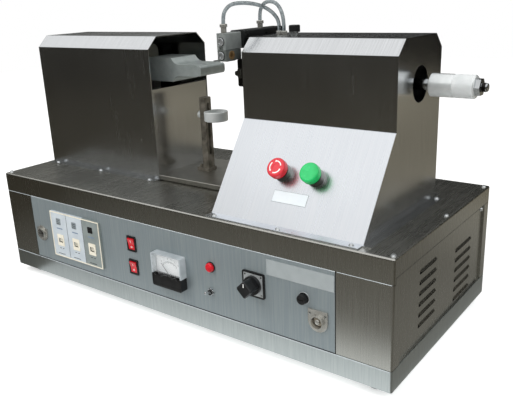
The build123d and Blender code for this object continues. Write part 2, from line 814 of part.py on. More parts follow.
def front_sockets():
    """Pedal socket at the left and generator socket at the right end of the panel."""
    left_shift = socket_centre_shift(left_socket_size)
    right_shift = socket_centre_shift(right_socket_size)
    left = on_front(left_socket_x, left_socket_z - left_shift) * socket(*left_socket_size)
    right = on_front(right_socket_x, right_socket_z - right_shift) * socket(*right_socket_size)
    return group(left, right)


# Towers

def tower_outline():
    """Outline of the left tower in (y, z): upright walls and sloping roof edges."""
    shoulder = tower_top - tower_chamfer_drop
    return [
        (tower_front, deck),
        (tower_front, shoulder),
        (tower_front + tower_chamfer_run, tower_top),
        (tower_back - tower_chamfer_run, tower_top),
        (tower_back, shoulder),
        (tower_back, deck),
    ]


def right_outline(below=0.0):
    """Outline of the right tower, whose front turns forward below the knee. It can run on below the deck."""
    knee = (tower_front, deck + knee_height)
    foot = (slant_foot_y - below * tan(radians(slant_tilt)), deck - below)
    return [foot, knee] + tower_outline()[1:-1] + [(tower_back, deck - below)]


def housing(points, x0, x1, closed_end, inner_bottom):
    """Sheet housing along X, open below, with one end wall and one open end."""
    shell = prism_x(points, x0, x1)
    hollow = Plane.YZ * outline_inset(points, sheet)
    start = x0 + sheet if closed_end == "left" else x0 - 1
    length = x1 - x0 - sheet + 1
    shell -= Pos(start, 0, 0) * extrude(hollow, amount=length, dir=(1, 0, 0))
    y0, y1 = inner_bottom
    shell -= block(start, start + length, y0, y1, deck - 1, deck + 2 * sheet)
    return shell


def foot_strip(x0, x1, y0, y1):
    """Flat foot flange on the deck."""
    return block(x0, x1, y0, y1, deck, deck + sheet)


def left_tower_cover():
    """Cover of the sealing stack: roof, walls and left end folded from one sheet."""
    walls = (tower_front + sheet, tower_back - sheet)
    cover = housing(tower_outline(), left_tower_start, left_tower_end_x, "left", walls)
    cover += foot_strip(left_tower_start, left_tower_end_x, tower_front - flange_width, tower_front)
    cover += foot_strip(left_tower_start, left_tower_end_x, tower_back, tower_back + flange_width)
    return cover - screw_holes()


def left_tower_end():
    """Plate that closes the lower part of the open end, with a folded foot and top edge."""
    y0 = tower_front + sheet + lap_gap
    y1 = tower_back - sheet - lap_gap
    x1 = left_tower_end_x - 1
    x0 = x1 - sheet
    sill = deck + left_sill_height
    plate = block(x0, x1, y0, y1, bed_top, sill)
    plate += block(x0 - 10, x1, y0, y1, sill - sheet, sill)
    plate += block(x0 - 12, x1, y0, y1, bed_top, bed_top + sheet)
    for y in (y0, y1 - sheet):
        plate += block(x0 - 10, x1, y, y + sheet, bed_top, sill)
    return plate


def right_tower_cover():
    """Cover of the air cylinder: walls, roof and right end with the hole for the adjuster."""
    walls = (slant_foot_y + sheet / cos(radians(slant_tilt)), tower_back - sheet)
    cover = housing(right_outline(), right_tower_start, right_tower_end_x, "right", walls)
    window_low = on_slant(right_tower_middle, slant_length / 2)
    cover -= window_low * Box(right_tower_length - 60, slant_length - 50, 8 * sheet)
    cover += foot_strip(right_tower_start, right_tower_end_x, tower_back, tower_back + flange_width)
    cover += foot_strip(right_tower_end_x, right_tower_end_x + flange_width, *right_flange)
    cover -= bar_x(knob_hole_radius, right_tower_end_x - 10, right_tower_end_x + 10, axis_y, press_z)
    for x, y in roof_fittings_at:
        cover -= bar_z(fitting_body_radius + body_fit, tower_top - 5, tower_top + 5, x, y)
    return cover - screw_holes()


def right_tower_end():
    """Inner end plate of the right tower, cut out for the ram's rods."""
    outline = outline_inset(right_outline(below=20.0), sheet + lap_gap)
    plate = extrude(Plane.YZ.offset(right_tower_start) * outline, amount=sheet, dir=(1, 0, 0))
    plate -= block(right_tower_start - 1, right_tower_start + sheet + 1, 0, base_depth, deck - 30, deck)
    plate += block(
        right_tower_start, right_tower_start + 12, tower_front + 2 * sheet + 2, tower_back - 2 * sheet - 2,
        bed_top, bed_top + sheet)
    plate -= block(right_tower_start - 1, right_tower_start + sheet + 1, tower_front + sheet, tower_back, deck, bed_top)
    plate -= block(
        right_tower_start - 1, right_tower_start + sheet + 1, axis_y - ram_half_width, axis_y + ram_half_width,
        press_z - 22, press_z + 22)
    return plate


def slant_panel():
    """Bright sloping panel with its foot flange, drilled for the two push buttons."""
    width = right_tower_length
    panel = on_slant(right_tower_middle, slant_length / 2, sheet / 2) * Box(width, slant_length, sheet)
    flange = foot_strip(
        right_tower_start, right_tower_end_x, slant_foot_y - slant_flange, slant_foot_y - sheet / 2)
    panel = panel - block(right_tower_start - 1, right_tower_end_x + 1, 0, 60, deck - 5, deck)
    panel += flange
    for x in button_places():
        panel -= on_slant(x, button_slant) * Cylinder(button_hole_radius + body_fit, 6 * sheet)
    return panel - screw_holes()


# Bed plate, post and nest ring

def bed_plate():
    """Machined bar that carries stack, post and cylinder. A shadow gap runs under its lip."""
    y0 = tower_front + sheet + lap_gap
    y1 = tower_back - sheet - lap_gap
    plate = block(bed_start, bed_end, y0, y1, deck + bed_lip_gap, bed_top)
    plate = chamfer(plate.edges().group_by(Axis.Z)[-1], 0.8)
    plate += block(bed_start + 4, bed_end - 4, y0 + 4, y1 - 4, deck, deck + bed_lip_gap)
    for x in (left_tower_start + 50, right_tower_end_x - 50):
        plate -= bar_z(cable_hole_radius, deck - 1, bed_top + 1, x, axis_y)
    return plate


def nest_post():
    """Slotted upright with a foot, bolted to the bed plate beside the sealing line."""
    y0 = axis_y - post_width_y / 2
    post = block(post_x, post_x + post_thickness, y0, y0 + post_width_y, bed_top, bed_top + post_height)
    post = chamfer(post.edges().group_by(Axis.Z)[-1], 0.8)
    slot = SlotOverall(post_height - 40, post_slot, rotation=90)
    slot = Plane.YZ.offset(post_x - 1) * Pos(axis_y, bed_top + post_height / 2 + 10) * slot
    post -= extrude(slot, amount=post_thickness + 2, dir=(1, 0, 0))
    foot = block(post_x - 14, post_x + post_thickness + 3, y0 - 3, y0 + post_width_y + 3, bed_top, bed_top + 6)
    foot = fillet(foot.edges().filter_by(Axis.Z), 2)
    for y in (axis_y - 6, axis_y + 6):
        bolt = Pos(post_x - 7, y, bed_top + 6) * Cylinder(3.2, 5, align=(Align.CENTER, Align.CENTER, Align.MIN))
        foot += bolt
    return post + foot


def nest_ring():
    """Ring that holds the tube, flat towards the post, with its clamp screw through the slot."""
    low = ring_top - ring_height
    middle = (low + ring_top) / 2
    flat = post_x + post_thickness + ring_clearance
    body = bar_z(ring_outer_radius, low, ring_top, seal_x, axis_y)
    body = chamfer(body.edges(), 0.8)
    body -= bar_z(ring_bore_radius, low - 1, ring_top + 1, seal_x, axis_y)
    body -= block(flat - 20, flat, axis_y - 30, axis_y + 30, low - 1, ring_top + 1)
    head_end = post_x - ring_clearance
    body += bar_x(post_slot / 2 - ring_clearance, head_end - 1, flat + 0.5, axis_y, middle)
    head = bar_x(nest_screw_head, head_end - 9, head_end, axis_y, middle)
    return body + chamfer(head.edges(), 0.8)


# Sealing stack

def horn():
    """Blade horn: block body, concave steps to the blade and a grooved, rounded nose."""
    body_end = horn_tip - blade_length - horn_arc
    arc_end = horn_tip - blade_length
    groove_start = horn_tip - lip_length - neck_length

    def half(sign):
        """Upper or lower edge of the outline, from the rear face to the tip."""
        radius = horn_arc * 1.02
        start = (body_end, sign * horn_half_height)
        end = (arc_end, sign * blade_half_height)
        return [
            Line((horn_rear, 0), (horn_rear, sign * horn_half_height)),
            Line((horn_rear, sign * horn_half_height), start),
            RadiusArc(start, end, sign * -radius),
            Line(end, (groove_start, sign * blade_half_height)),
            Line((groove_start, sign * blade_half_height), (groove_start + 1.5, sign * nose_half_height)),
            Line((groove_start + 1.5, sign * nose_half_height), (horn_tip - lip_length, sign * nose_half_height)),
            Line((horn_tip - lip_length, sign * nose_half_height), (horn_tip - 4, sign * lip_half_height)),
            RadiusArc((horn_tip - 4, sign * lip_half_height), (horn_tip, sign * 4), sign * 6.5),
            Line((horn_tip, sign * 4), (horn_tip, 0)),
        ]

    face = make_face([Plane.XZ * edge for edge in half(1) + half(-1)])
    solid = extrude(face, amount=horn_width / 2, both=True)
    solid = Pos(0, axis_y, seal_z) * solid
    return solid - bar_x(stack_stud_radius, horn_rear - 1, horn_rear + stack_stud, axis_y, seal_z)


def booster():
    """Stepped booster with the ring by which the stack is held."""
    middle = booster_rear + booster_length / 2
    ring_start = middle - booster_ring / 2
    shape = bar_x(booster_rear_radius, booster_rear, middle, axis_y, seal_z)
    shape += bar_x(booster_front_radius, middle, horn_rear, axis_y, seal_z)
    shape += bar_x(booster_ring_radius, ring_start, ring_start + booster_ring, axis_y, seal_z)
    shape = chamfer(shape.edges().filter_by(GeomType.CIRCLE).group_by(Axis.X)[0], 1.5)
    return shape + bar_x(stack_stud_radius - rod_fit, horn_rear, horn_rear + stack_stud - 1, axis_y, seal_z)


def converter():
    """Closed converter can with cooling grooves and the cable gland at its rear."""
    x1 = booster_rear
    x0 = x1 - converter_length
    can = bar_x(converter_radius, x0, x1, axis_y, seal_z)
    can = fillet(can.edges().group_by(Axis.X)[0], 4)
    for index in range(4):
        x = x0 + 24 + index * 10
        ring = bar_x(converter_radius + 1, x, x + 4, axis_y, seal_z) - bar_x(converter_radius - 2, x, x + 4, axis_y, seal_z)
        can -= ring
    gland = bar_x(7, x0 - 12, x0, axis_y, seal_z)
    return can + gland


def stack_clamp():
    """Upright bracket in two halves that meet at the axis and grip the booster's ring."""
    middle = booster_rear + booster_length / 2
    x0 = middle - clamp_thickness / 2
    x1 = middle + clamp_thickness / 2
    half = clamp_half_width
    top = seal_z + clamp_above_axis
    plate = block(x0, x1, axis_y - half, axis_y + half, bed_top, top)
    plate = fillet(plate.edges().filter_by(Axis.X).group_by(Axis.Z)[-1], 14)
    foot_top = bed_top + clamp_foot_height
    plate += block(x0 - clamp_foot, x1 + clamp_foot, axis_y - half, axis_y + half, bed_top, foot_top)
    for sign in (-1, 1):
        y = axis_y + sign * (half - 5)
        gusset_top = bed_top + clamp_gusset
        gusset = [(x0 - clamp_foot, foot_top), (x1 + clamp_foot, foot_top), (x1, gusset_top), (x0, gusset_top)]
        plate += prism_y(gusset, y - 5, y + 5)
    bore = booster_ring_radius + rod_fit
    plate -= bar_x(booster_rear_radius + 1.5, x0 - 30, middle + 1, axis_y, seal_z)
    plate -= bar_x(booster_front_radius + 1.5, middle - 1, x1 + 30, axis_y, seal_z)
    plate -= bar_x(bore, middle - booster_ring / 2, middle + booster_ring / 2, axis_y, seal_z)
    reach = clamp_foot + 1
    upper = plate & block(x0 - reach, x1 + reach, axis_y - half - 1, axis_y + half + 1, seal_z, top + 1)
    lower = plate & block(x0 - reach, x1 + reach, axis_y - half - 1, axis_y + half + 1, bed_top, seal_z)
    return group(lower, upper)


# Ram, cylinder and stroke adjuster

def cylinder_bracket():
    """Upright plate with foot and gussets that carries the cylinder and guides the rods."""
    x0 = bracket_face
    x1 = cylinder_front
    top = press_z + bracket_above_axis
    plate = block(x0, x1, axis_y - bracket_reach, axis_y + bracket_reach, bed_top, top)
    plate = fillet(plate.edges().filter_by(Axis.X).group_by(Axis.Z)[-1], 10)
    foot_top = bed_top + bracket_foot_height
    plate += block(x0, x1 + bracket_foot, axis_y - bracket_reach, axis_y + bracket_reach, bed_top, foot_top)
    for sign in (-1, 1):
        y = axis_y + sign * (bracket_reach - 6)
        gusset = [(x1, foot_top), (x1 + bracket_foot, foot_top), (x1, bed_top + bracket_gusset)]
        plate += prism_y(gusset, y - 5, y + 5)
    for y, radius in ram_rod_places():
        plate -= bar_x(radius + rod_fit, x0 - 1, x1 + 1, y, press_z)
    return plate


def ram_rod_places():
    """Y position and radius of the piston rod and of the two guide rods."""
    return [
        (axis_y, rod_radius),
        (axis_y - guide_spread, guide_radius),
        (axis_y + guide_spread, guide_radius),
    ]


def air_cylinder():
    """Air cylinder with a rod at both ends: square caps, barrel, tie rods and port bosses."""
    x0 = cylinder_front
    x1 = cylinder_rear
    half = cylinder_side / 2
    caps = []
    for start in (x0, x1 - cap_length):
        cap = block(start, start + cap_length, axis_y - half, axis_y + half, press_z - half, press_z + half)
        caps.append(chamfer(cap.edges().filter_by(Axis.X), 5))
    body = caps[0] + caps[1]
    body += bar_x(barrel_radius, x0 + cap_length, x1 - cap_length, axis_y, press_z)
    for sign_y in (-1, 1):
        for sign_z in (-1, 1):
            y = axis_y + sign_y * (half - 8)
            z = press_z + sign_z * (half - 8)
            body += bar_x(4, x0 + 1, x1 - 1, y, z)
    for x in (x0 + cap_length / 2, x1 - cap_length / 2):
        body += bar_z(7, press_z - half - 8, press_z - half, x, axis_y)
    return body - bar_x(rod_radius + rod_fit, x0 - 1, x1 + 1, axis_y, press_z)


def ram_plate():
    """Front plate of the ram with chamfered corners and the shelf that carries the trimming cylinder."""
    half = ram_half_width
    plate = block(ram_face, ram_back, axis_y - half, axis_y + half, press_z - ram_below_axis, ram_top)
    plate = chamfer(plate.edges().filter_by(Axis.X), 4)
    half = trim_shelf_half_width
    shelf_start = trim_x + trim_width + trim_body_side
    shelf = block(shelf_start, ram_back, axis_y - half, axis_y + half, ram_top, ram_top + trim_shelf_height)
    return plate + chamfer(shelf.edges().filter_by(Axis.Z), 3)


def ram_rods():
    """Through-going piston rod with the lock nut at its end, and the two guide rods."""
    main = bar_x(rod_radius, ram_back, knob_end, axis_y, press_z)
    nut = Plane.YZ * RegularPolygon(nut_flats / 2, 6, major_radius=False)
    nut = Pos(knob_end, axis_y, press_z) * extrude(nut, amount=nut_thickness, dir=(1, 0, 0))
    stud = bar_x(stud_radius, nut_end, stud_end, axis_y, press_z)
    stud = fillet(stud.edges().group_by(Axis.X)[-1], 2)
    solids = [main + nut + stud]
    for y in (axis_y - guide_spread, axis_y + guide_spread):
        rod = bar_x(guide_radius, ram_back, ram_back + guide_length, y, press_z)
        solids.append(chamfer(rod.edges().group_by(Axis.X)[-1], 1))
    return group(*solids)


def stroke_knob():
    """Adjuster that stops the stroke: smooth sleeve, knurled grip and the bore for the rod."""
    middle = knob_face + knob_sleeve
    sleeve = bar_x(knob_radius, knob_face, middle, axis_y, press_z)
    sleeve = chamfer(sleeve.edges().group_by(Axis.X)[0], 1.2)
    grip = bar_x(knob_radius - knurl_relief, middle, knob_end, axis_y, press_z)
    grip = chamfer(grip.edges().group_by(Axis.X)[-1], 1.2)
    return sleeve + grip - bar_x(rod_radius + rod_fit, knob_face - 1, knob_end + 1, axis_y, press_z)


def anvil_holder():
    """Black block on the ram plate with the groove that takes the anvil."""
    y0 = axis_y - horn_width / 2
    y1 = axis_y + horn_width / 2
    holder = block(holder_face, ram_face, y0, y1, holder_top - holder_height, holder_top)
    holder = chamfer(holder.edges().filter_by(Axis.Y).group_by(Axis.X)[0], 2)
    groove = anvil_base_height / 2 + anvil_clearance
    holder -= block(holder_face - 1, holder_face + anvil_base, y0 - 1, y1 + 1, seal_z - groove, seal_z + groove)
    return holder


def anvil():
    """Hardened anvil: base in the holder's groove and a tapered, rounded nose."""
    y0 = axis_y - horn_width / 2
    y1 = axis_y + horn_width / 2
    half = anvil_base_height / 2
    nose = anvil_nose / 2
    section = [
        (holder_face + anvil_base, seal_z - half),
        (holder_face, seal_z - half),
        (holder_face - 1, seal_z - nose - 1.5),
        (anvil_tip + 1.2, seal_z - nose),
        (anvil_tip, seal_z - nose + 1.2),
        (anvil_tip, seal_z + nose - 1.2),
        (anvil_tip + 1.2, seal_z + nose),
        (holder_face - 1, seal_z + nose + 1.5),
        (holder_face, seal_z + half),
        (holder_face + anvil_base, seal_z + half),
    ]
    return prism_y(section, y0, y1)


# Trimming head

def trim_cap():
    """Front end block of the trimming cylinder with the groove that guides the slide."""
    y1 = trim_y + trim_cap_length
    middle = trim_x + trim_width / 2
    cap = block(trim_x, trim_x + trim_width, trim_y, y1, trim_bottom, trim_top)
    cap = chamfer(cap.edges().filter_by(Axis.Z) + cap.edges().filter_by(Axis.Y), 0.8)
    cap -= slide_groove(trim_y - 1, y1 + 1)
    z = (trim_bottom + trim_top) / 2
    return cap - bar_y(4.2, trim_y - 1, trim_y + 3, middle, z) + bar_y(3.6, trim_y + 0.5, trim_y + 3, middle, z)


def slide_groove(y0, y1):
    """Cutter for the guide groove under the trimming cylinder."""
    middle = trim_x + trim_width / 2
    half = groove_width / 2
    return block(middle - half, middle + half, y0, y1, trim_bottom - 1, trim_bottom + groove_depth)


def trim_body():
    """Body of the trimming cylinder: black profile with round ends and long side grooves."""
    x0 = trim_x - trim_body_side
    x1 = trim_x + trim_width + trim_body_side
    y0 = trim_y + trim_cap_length
    y1 = y0 + trim_body_length
    top = trim_top + trim_body_rise
    body = block(x0, x1, y0, y1, trim_bottom, top)
    body = fillet(body.edges().filter_by(Axis.Y).group_by(Axis.Z)[-1], 3)
    for x in (x0, x1):
        body -= block(x - 1.5, x + 1.5, y0 + 8, y1 - 8, top - 11, top - 7)
    return body - slide_groove(y0 - 1, y1 + 1)


def knife_slide():
    """Slide under the trimming cylinder with its tongue and the brass bush in its side."""
    middle = trim_x + trim_width / 2
    top = trim_bottom - slide_clearance
    body = block(trim_x, trim_x + trim_width, trim_y, trim_y + slide_length, slide_bottom, top)
    body = chamfer(body.edges().filter_by(Axis.Z), 0.8)
    tongue = groove_width / 2 - slide_clearance
    body += block(middle - tongue, middle + tongue, trim_y + 2, trim_y + slide_length - 2,
                  top, trim_bottom + groove_depth - slide_clearance)
    bush_z = (slide_bottom + top) / 2
    face = trim_x + trim_width
    body -= bar_x(bush_radius + rod_fit, face - bush_length, face + 1, bush_y, bush_z)
    body -= bar_y(4.2, trim_y - 1, trim_y + 3, middle, bush_z)
    body += bar_y(3.6, trim_y + 0.5, trim_y + 3, middle, bush_z)
    bush = bar_x(bush_radius, face - bush_length, face + 0.6, bush_y, bush_z)
    bush -= bar_x(bush_bore, face - bush_length - 1, face + 1, bush_y, bush_z)
    return group(body, bush)


def knife():
    """Thin knife under the slide. Its point leads in the direction of the cut."""
    y0 = trim_y + 6
    y1 = y0 + knife_width
    tip_x = trim_x - knife_reach
    outline = Polyline(
        (trim_x + trim_width - 3, y0),
        (trim_x + trim_width - 3, y1),
        (trim_x - 2, y1),
        (tip_x, y0 + knife_width * 0.55),
        (tip_x, y0),
        close=True,
    )
    return Pos(0, 0, slide_bottom) * extrude(make_face(outline), amount=knife_thickness, dir=(0, 0, -1))


# Hoses, fittings and valves

def hose_fitting(place, base, top, ring_radius, stub=0.0):
    """Straight fitting: round body and the ring that grips the hose."""
    x, y = place
    body = bar_z(fitting_body_radius, base - stub, top - fitting_ring, x, y)
    ring = bar_z(ring_radius, top - fitting_ring, top, x, y)
    return body + chamfer(ring.edges().group_by(Axis.Z)[-1], 0.8)


def ram_fittings():
    """The two fittings on top of the trimming cylinder."""
    front = hose_fitting((fitting_x, front_fitting_y), trim_top, fitting_top, fitting_ring_radius)
    rear_base = trim_top + trim_body_rise
    rear = hose_fitting((fitting_x, rear_fitting_y), rear_base, fitting_top, fitting_ring_radius)
    return group(front, rear)


def roof_fittings():
    """The two bulkhead fittings in the roof of the right tower."""
    top = tower_top + roof_fitting_height
    return group(*[hose_fitting(place, tower_top, top, roof_ring_radius, 8) for place in roof_fittings_at])


def loop_route(start_y, roof_place, corners):
    """Points of a hose loop, which stands upright over the line between its two fittings."""
    start = Vector(fitting_x, start_y, 0)
    end = Vector(*roof_place, 0)
    span = (end - start).length
    steps = [(0, fitting_top), *corners, (span, hose_last_corner), (span, tower_top + roof_fitting_height)]
    along = (end - start) / span
    return [tuple(start + along * distance + Vector(0, 0, height)) for distance, height in steps]


def hose_radii(points):
    """Arc radius at every corner: 0.45 of the shorter run over the tangent of half the turn."""
    radii = []
    for before, here, after in zip(points, points[1:], points[2:]):
        run_in = Vector(*here) - Vector(*before)
        run_out = Vector(*after) - Vector(*here)
        turn = radians(run_in.get_angle(run_out))
        shorter = min(run_in.length, run_out.length)
        radii.append(0.45 * shorter / tan(turn / 2))
    return radii


def hose(name, points):
    """Round hose along straight runs joined by arcs."""
    radii = hose_radii(points)
    path = FilletPolyline(*points, radius=radii)
    start = Vector(*points[1]) - Vector(*points[0])
    section = Plane(origin=points[0], z_dir=start) * Circle(hose_radius)
    solid = sweep(section, path=path)
    expected = pi * hose_radius ** 2 * path.length
    print(name, "radii", [round(radius, 1) for radius in radii])
    print(name, "length", round(path.length, 1), "volume ratio", round(solid.volume / expected, 4))
    return solid


def air_valves():
    """Small valve with its square coil on the roof, and the main valve on the tray's floor."""
    half = valve_size / 2
    base = Pos(valve_x, valve_y, tower_top) * extrude(Circle(half - 1), amount=valve_base)
    coil = Pos(valve_x, valve_y, tower_top + valve_base)
    coil *= extrude(RectangleRounded(valve_size, valve_size, 2), amount=valve_height)
    coil = chamfer(coil.edges().group_by(Axis.Z)[-1], 1.2)
    floor = tray_bottom + sheet
    length, width, height = valve_block_size
    main = block(valve_block_x, valve_block_x + length, valve_block_y, valve_block_y + width, floor, floor + height)
    main = chamfer(main.edges().filter_by(Axis.Z), 2)
    main += block(valve_block_x + length, valve_block_x + length + 24, valve_block_y + 5,
                  valve_block_y + width - 5, floor + 8, floor + height - 8)
    return group(base + coil, main)


# Push buttons

def button_places():
    """X positions of the stop button and the start button."""
    return [button_left, button_left + button_pitch]


def button_collars():
    """Collars of both buttons with their bodies behind the panel."""
    solids = []
    for x in button_places():
        collar = extrude(Circle(button_collar_radius), amount=button_collar, taper=4)
        body = Pos(0, 0, -button_body / 2 - sheet) * Cylinder(button_hole_radius, button_body + 2 * sheet)
        bore = Cylinder(button_stem_radius + 0.3, 3 * button_collar)
        solids.append(on_slant(x, button_slant, sheet) * (collar + body - bore))
    return group(*solids)


def mushroom(x):
    """Mushroom head: a domed disc above its collar."""
    head = extrude(Circle(button_head_radius), amount=button_head, taper=2)
    head = fillet(head.edges().group_by(Axis.Z)[-1], 3.2)
    return on_slant(x, button_slant, sheet + button_collar + button_travel) * head


def estop_stem():
    """Sliding stem of the emergency stop, with a pin for its head."""
    x = button_places()[0]
    stem = Pos(0, 0, -3) * extrude(Circle(button_stem_radius), amount=button_collar + button_travel + 3)
    pin = Pos(0, 0, button_collar + button_travel + 3) * Cylinder(4, 6)
    return on_slant(x, button_slant, sheet) * (stem + pin)


def estop_head():
    """Red mushroom head that twists on its stem to unlock."""
    x = button_places()[0]
    base = sheet + button_collar + button_travel
    hollow = on_slant(x, button_slant, base) * Cylinder(4 + rod_fit, 14)
    dimple = on_slant(x, button_slant, base + button_head) * Cylinder(5, 1.2)
    return mushroom(x) - hollow - dimple


def start_head():
    """Green mushroom head in one piece with its stem."""
    x = button_places()[1]
    stem = Pos(0, 0, -3) * extrude(Circle(button_stem_radius), amount=button_collar + button_travel + 4)
    return mushroom(x) + on_slant(x, button_slant, sheet) * stem


# Rear connections and inner parts

def rear_inlets():
    """Mains inlet with its open socket, and the air inlet with hexagon and hose nipple."""
    flange = rounded_plate(inlet_width, inlet_height, inlet_flange, 3)
    body = Pos(0, 0, -inlet_depth / 2)
    body *= Box(inlet_width - 2 * inlet_flange - 0.4, inlet_height - 2 * inlet_flange - 0.4, inlet_depth)
    cavity = Pos(0, 0, inlet_flange - 8) * Box(24, 17, 17)
    mains = on_rear(inlet_x, inlet_z) * (flange + body - cavity)
    hexagon = extrude(RegularPolygon(air_hex_flats / 2, 6, major_radius=False), amount=air_hex)
    nipple = Pos(0, 0, air_hex) * extrude(Circle(air_nipple_radius), amount=air_nipple)
    nipple = chamfer(nipple.edges().group_by(Axis.Z)[-1], 1)
    tail = Pos(0, 0, -8) * Cylinder(air_nipple_radius, 16)
    air = hexagon + nipple + tail - Cylinder(3, 90)
    return group(mains, on_rear(air_inlet_x, air_inlet_z) * air)


def generator_box():
    """Vented case of the generator on the tray's floor."""
    length, width, height = generator_size
    floor = tray_bottom + sheet
    case = block(generator_x, generator_x + length, generator_y, generator_y + width, floor, floor + height)
    case = fillet(case.edges().filter_by(Axis.Z), 4)
    for index in range(8):
        x = generator_x + 30 + index * 24
        case -= block(x, x + 8, generator_y + 20, generator_y + width - 20, floor + height - 4, floor + height + 1)
    return case


# Dome screws

def screw_places():
    """Deck positions of the dome screws in the lid's edges and in the tower flanges."""
    lid = [(x, y) for x in (7.0, base_length - 7.0) for y in (11.0, base_depth - 11.0)]
    return lid + [(base_length - 7.0, axis_y)] + flange_screw_places()


def flange_screw_places():
    """Positions of the screws that hold the tower covers to the deck."""
    front = tower_front - 0.65 * flange_width
    back = tower_back + flange_width / 2
    left_x = (left_tower_start + 26, left_tower_start + left_tower_length / 2 + 3.5, left_tower_end_x - 17)
    left = [(x, y) for y in (front, back) for x in left_x]
    slant_y = slant_foot_y - slant_flange / 2 - 2
    slant = [(x, slant_y) for x in (right_tower_start + 13, right_tower_middle, right_tower_end_x - 13)]
    right = [(x, back) for x in (right_tower_start + 20, right_tower_end_x - 20)]
    side = [(right_tower_end_x + flange_width / 2, right_flange[1] - 6)]
    return left + slant + right + side


def screw_holes():
    """Clearance holes of the flange screws."""
    holes = Part()
    for x, y in flange_screw_places():
        holes += bar_z(screw_radius + body_fit / 2, deck - 1, deck + 3 * sheet, x, y)
    return holes


def dome_screw():
    """Screw along Z whose head's seat lies at Z = 0: low dome and plain shank."""
    head = extrude(Circle(screw_head_radius), amount=screw_head, taper=28)
    return head + Pos(0, 0, -screw_length / 2) * Cylinder(screw_radius, screw_length)


def dome_screws():
    """All dome screws of the deck, the flanges and the side panels."""
    screw = dome_screw()
    flanges = flange_screw_places()
    solids = []
    for x, y in screw_places():
        seat = deck + sheet if (x, y) in flanges else deck
        solids.append(Pos(x, y, seat) * screw)
    for x, turn in ((band, -90), (base_length - band, 90)):
        solids.append(Pos(x, vent_screw_y, vent_screw_z) * Rot(0, turn, 0) * screw)
    return group(*solids)


parts = {
    "base_tray": base_tray,
    "rubber_feet": rubber_feet,
    "cabinet_body": cabinet_body,
    "top_cover": top_cover,
    "vent_panels": vent_panels,
    "control_panel": control_panel,
    "timer_bank": timer_bank,
    "switch_bodies": switch_bodies,
    "rocker_upper": lambda: rocker(upper_rocker_z),
    "rocker_lower": lambda: rocker(lower_rocker_z),
    "toggle_lever": toggle_lever_shape,
    "meter_case": meter_case,
    "meter_needle": meter_needle,
    "meter_window": meter_window,
    "pilot_lamp": pilot_lamp,
    "selector_plate": selector_plate_shape,
    "selector_knob": selector_knob,
    "fuse_holder": fuse_holder,
    "fuse_cap": fuse_cap,
    "front_sockets": front_sockets,
    "left_tower_cover": left_tower_cover,
    "right_tower_cover": right_tower_cover,
    "tower_end_plates": lambda: group(left_tower_end(), right_tower_end()),
    "slant_panel": slant_panel,
    "button_collars": button_collars,
    "estop_stem": estop_stem,
    "estop_head": estop_head,
    "start_head": start_head,
    "bed_plate": bed_plate,
    "nest_post": nest_post,
    "nest_ring": nest_ring,
    "horn": horn,
    "booster": booster,
    "converter": converter,
    "stack_clamp": stack_clamp,
    "cylinder_bracket": cylinder_bracket,
    "air_cylinder": air_cylinder,
    "ram_plate": ram_plate,
    "ram_rods": ram_rods,
    "stroke_knob": stroke_knob,
    "anvil_holder": anvil_holder,
    "anvil": anvil,
    "trim_cap": trim_cap,
    "trim_body": trim_body,
    "knife_slide": knife_slide,
    "knife": knife,
    "ram_fittings": ram_fittings,
    "roof_fittings": roof_fittings,
    "front_hose": lambda: hose("front_hose", loop_route(front_fitting_y, roof_fittings_at[0], front_hose_corners)),
    "rear_hose": lambda: hose("rear_hose", loop_route(rear_fitting_y, roof_fittings_at[1], rear_hose_corners)),
    "air_valves": air_valves,
    "rear_inlets": rear_inlets,
    "generator_box": generator_box,
    "dome_screws": dome_screws,
}
for timer_index in range(timer_count):
    for place_index, place_name in enumerate(("tens", "units")):
        node = f"timer_{timer_index + 1}_{place_name}"
        parts[node] = lambda t=timer_index, p=place_index: digit_wheel(t, p)

os.makedirs("parts", exist_ok=True)
to_origin = Location((-origin_x, -origin_y, 0))
print("origin", round(origin_x, 3), round(origin_y, 3), "nodes", len(parts))
for node, make in parts.items():
    export_step(make().moved(to_origin), f"parts/{node}.step")
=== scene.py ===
"""Bench-top tube sealing machine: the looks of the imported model.

Places are given in bench millimetres, as in the part's source: x from the left side of the cabinet,
y from its front face, z from the table. bench() turns them into the frame's metres.
"""

import math

import bmesh
import bpy
import numpy as np
from mathutils import Matrix, Vector


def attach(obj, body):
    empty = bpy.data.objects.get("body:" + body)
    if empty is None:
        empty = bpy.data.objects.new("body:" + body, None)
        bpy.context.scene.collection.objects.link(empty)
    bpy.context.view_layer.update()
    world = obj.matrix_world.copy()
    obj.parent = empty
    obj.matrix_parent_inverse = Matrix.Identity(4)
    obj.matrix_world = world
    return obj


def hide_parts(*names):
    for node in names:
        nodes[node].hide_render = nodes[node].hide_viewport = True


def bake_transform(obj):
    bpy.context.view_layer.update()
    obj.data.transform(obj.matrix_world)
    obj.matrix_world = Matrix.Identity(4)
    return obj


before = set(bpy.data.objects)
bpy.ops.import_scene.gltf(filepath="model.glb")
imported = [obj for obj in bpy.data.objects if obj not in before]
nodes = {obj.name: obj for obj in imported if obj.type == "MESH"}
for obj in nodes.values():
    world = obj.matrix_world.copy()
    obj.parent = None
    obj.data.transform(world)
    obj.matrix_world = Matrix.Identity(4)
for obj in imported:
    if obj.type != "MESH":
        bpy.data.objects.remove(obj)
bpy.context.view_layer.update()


# Camera. It stands at the photograph's angle: to the right of the machine, a little above its
# towers, with a plain lens.

bench_origin_mm = np.array((445.65, 186.9, 0.0))


def bench(points):
    """Bench millimetres to the frame's metres: the origin is taken off and the rest divided by 1000."""
    return (np.asarray(points, float) - bench_origin_mm) / 1000


camera_at = bench((1165.1, -692.9, 538.7))
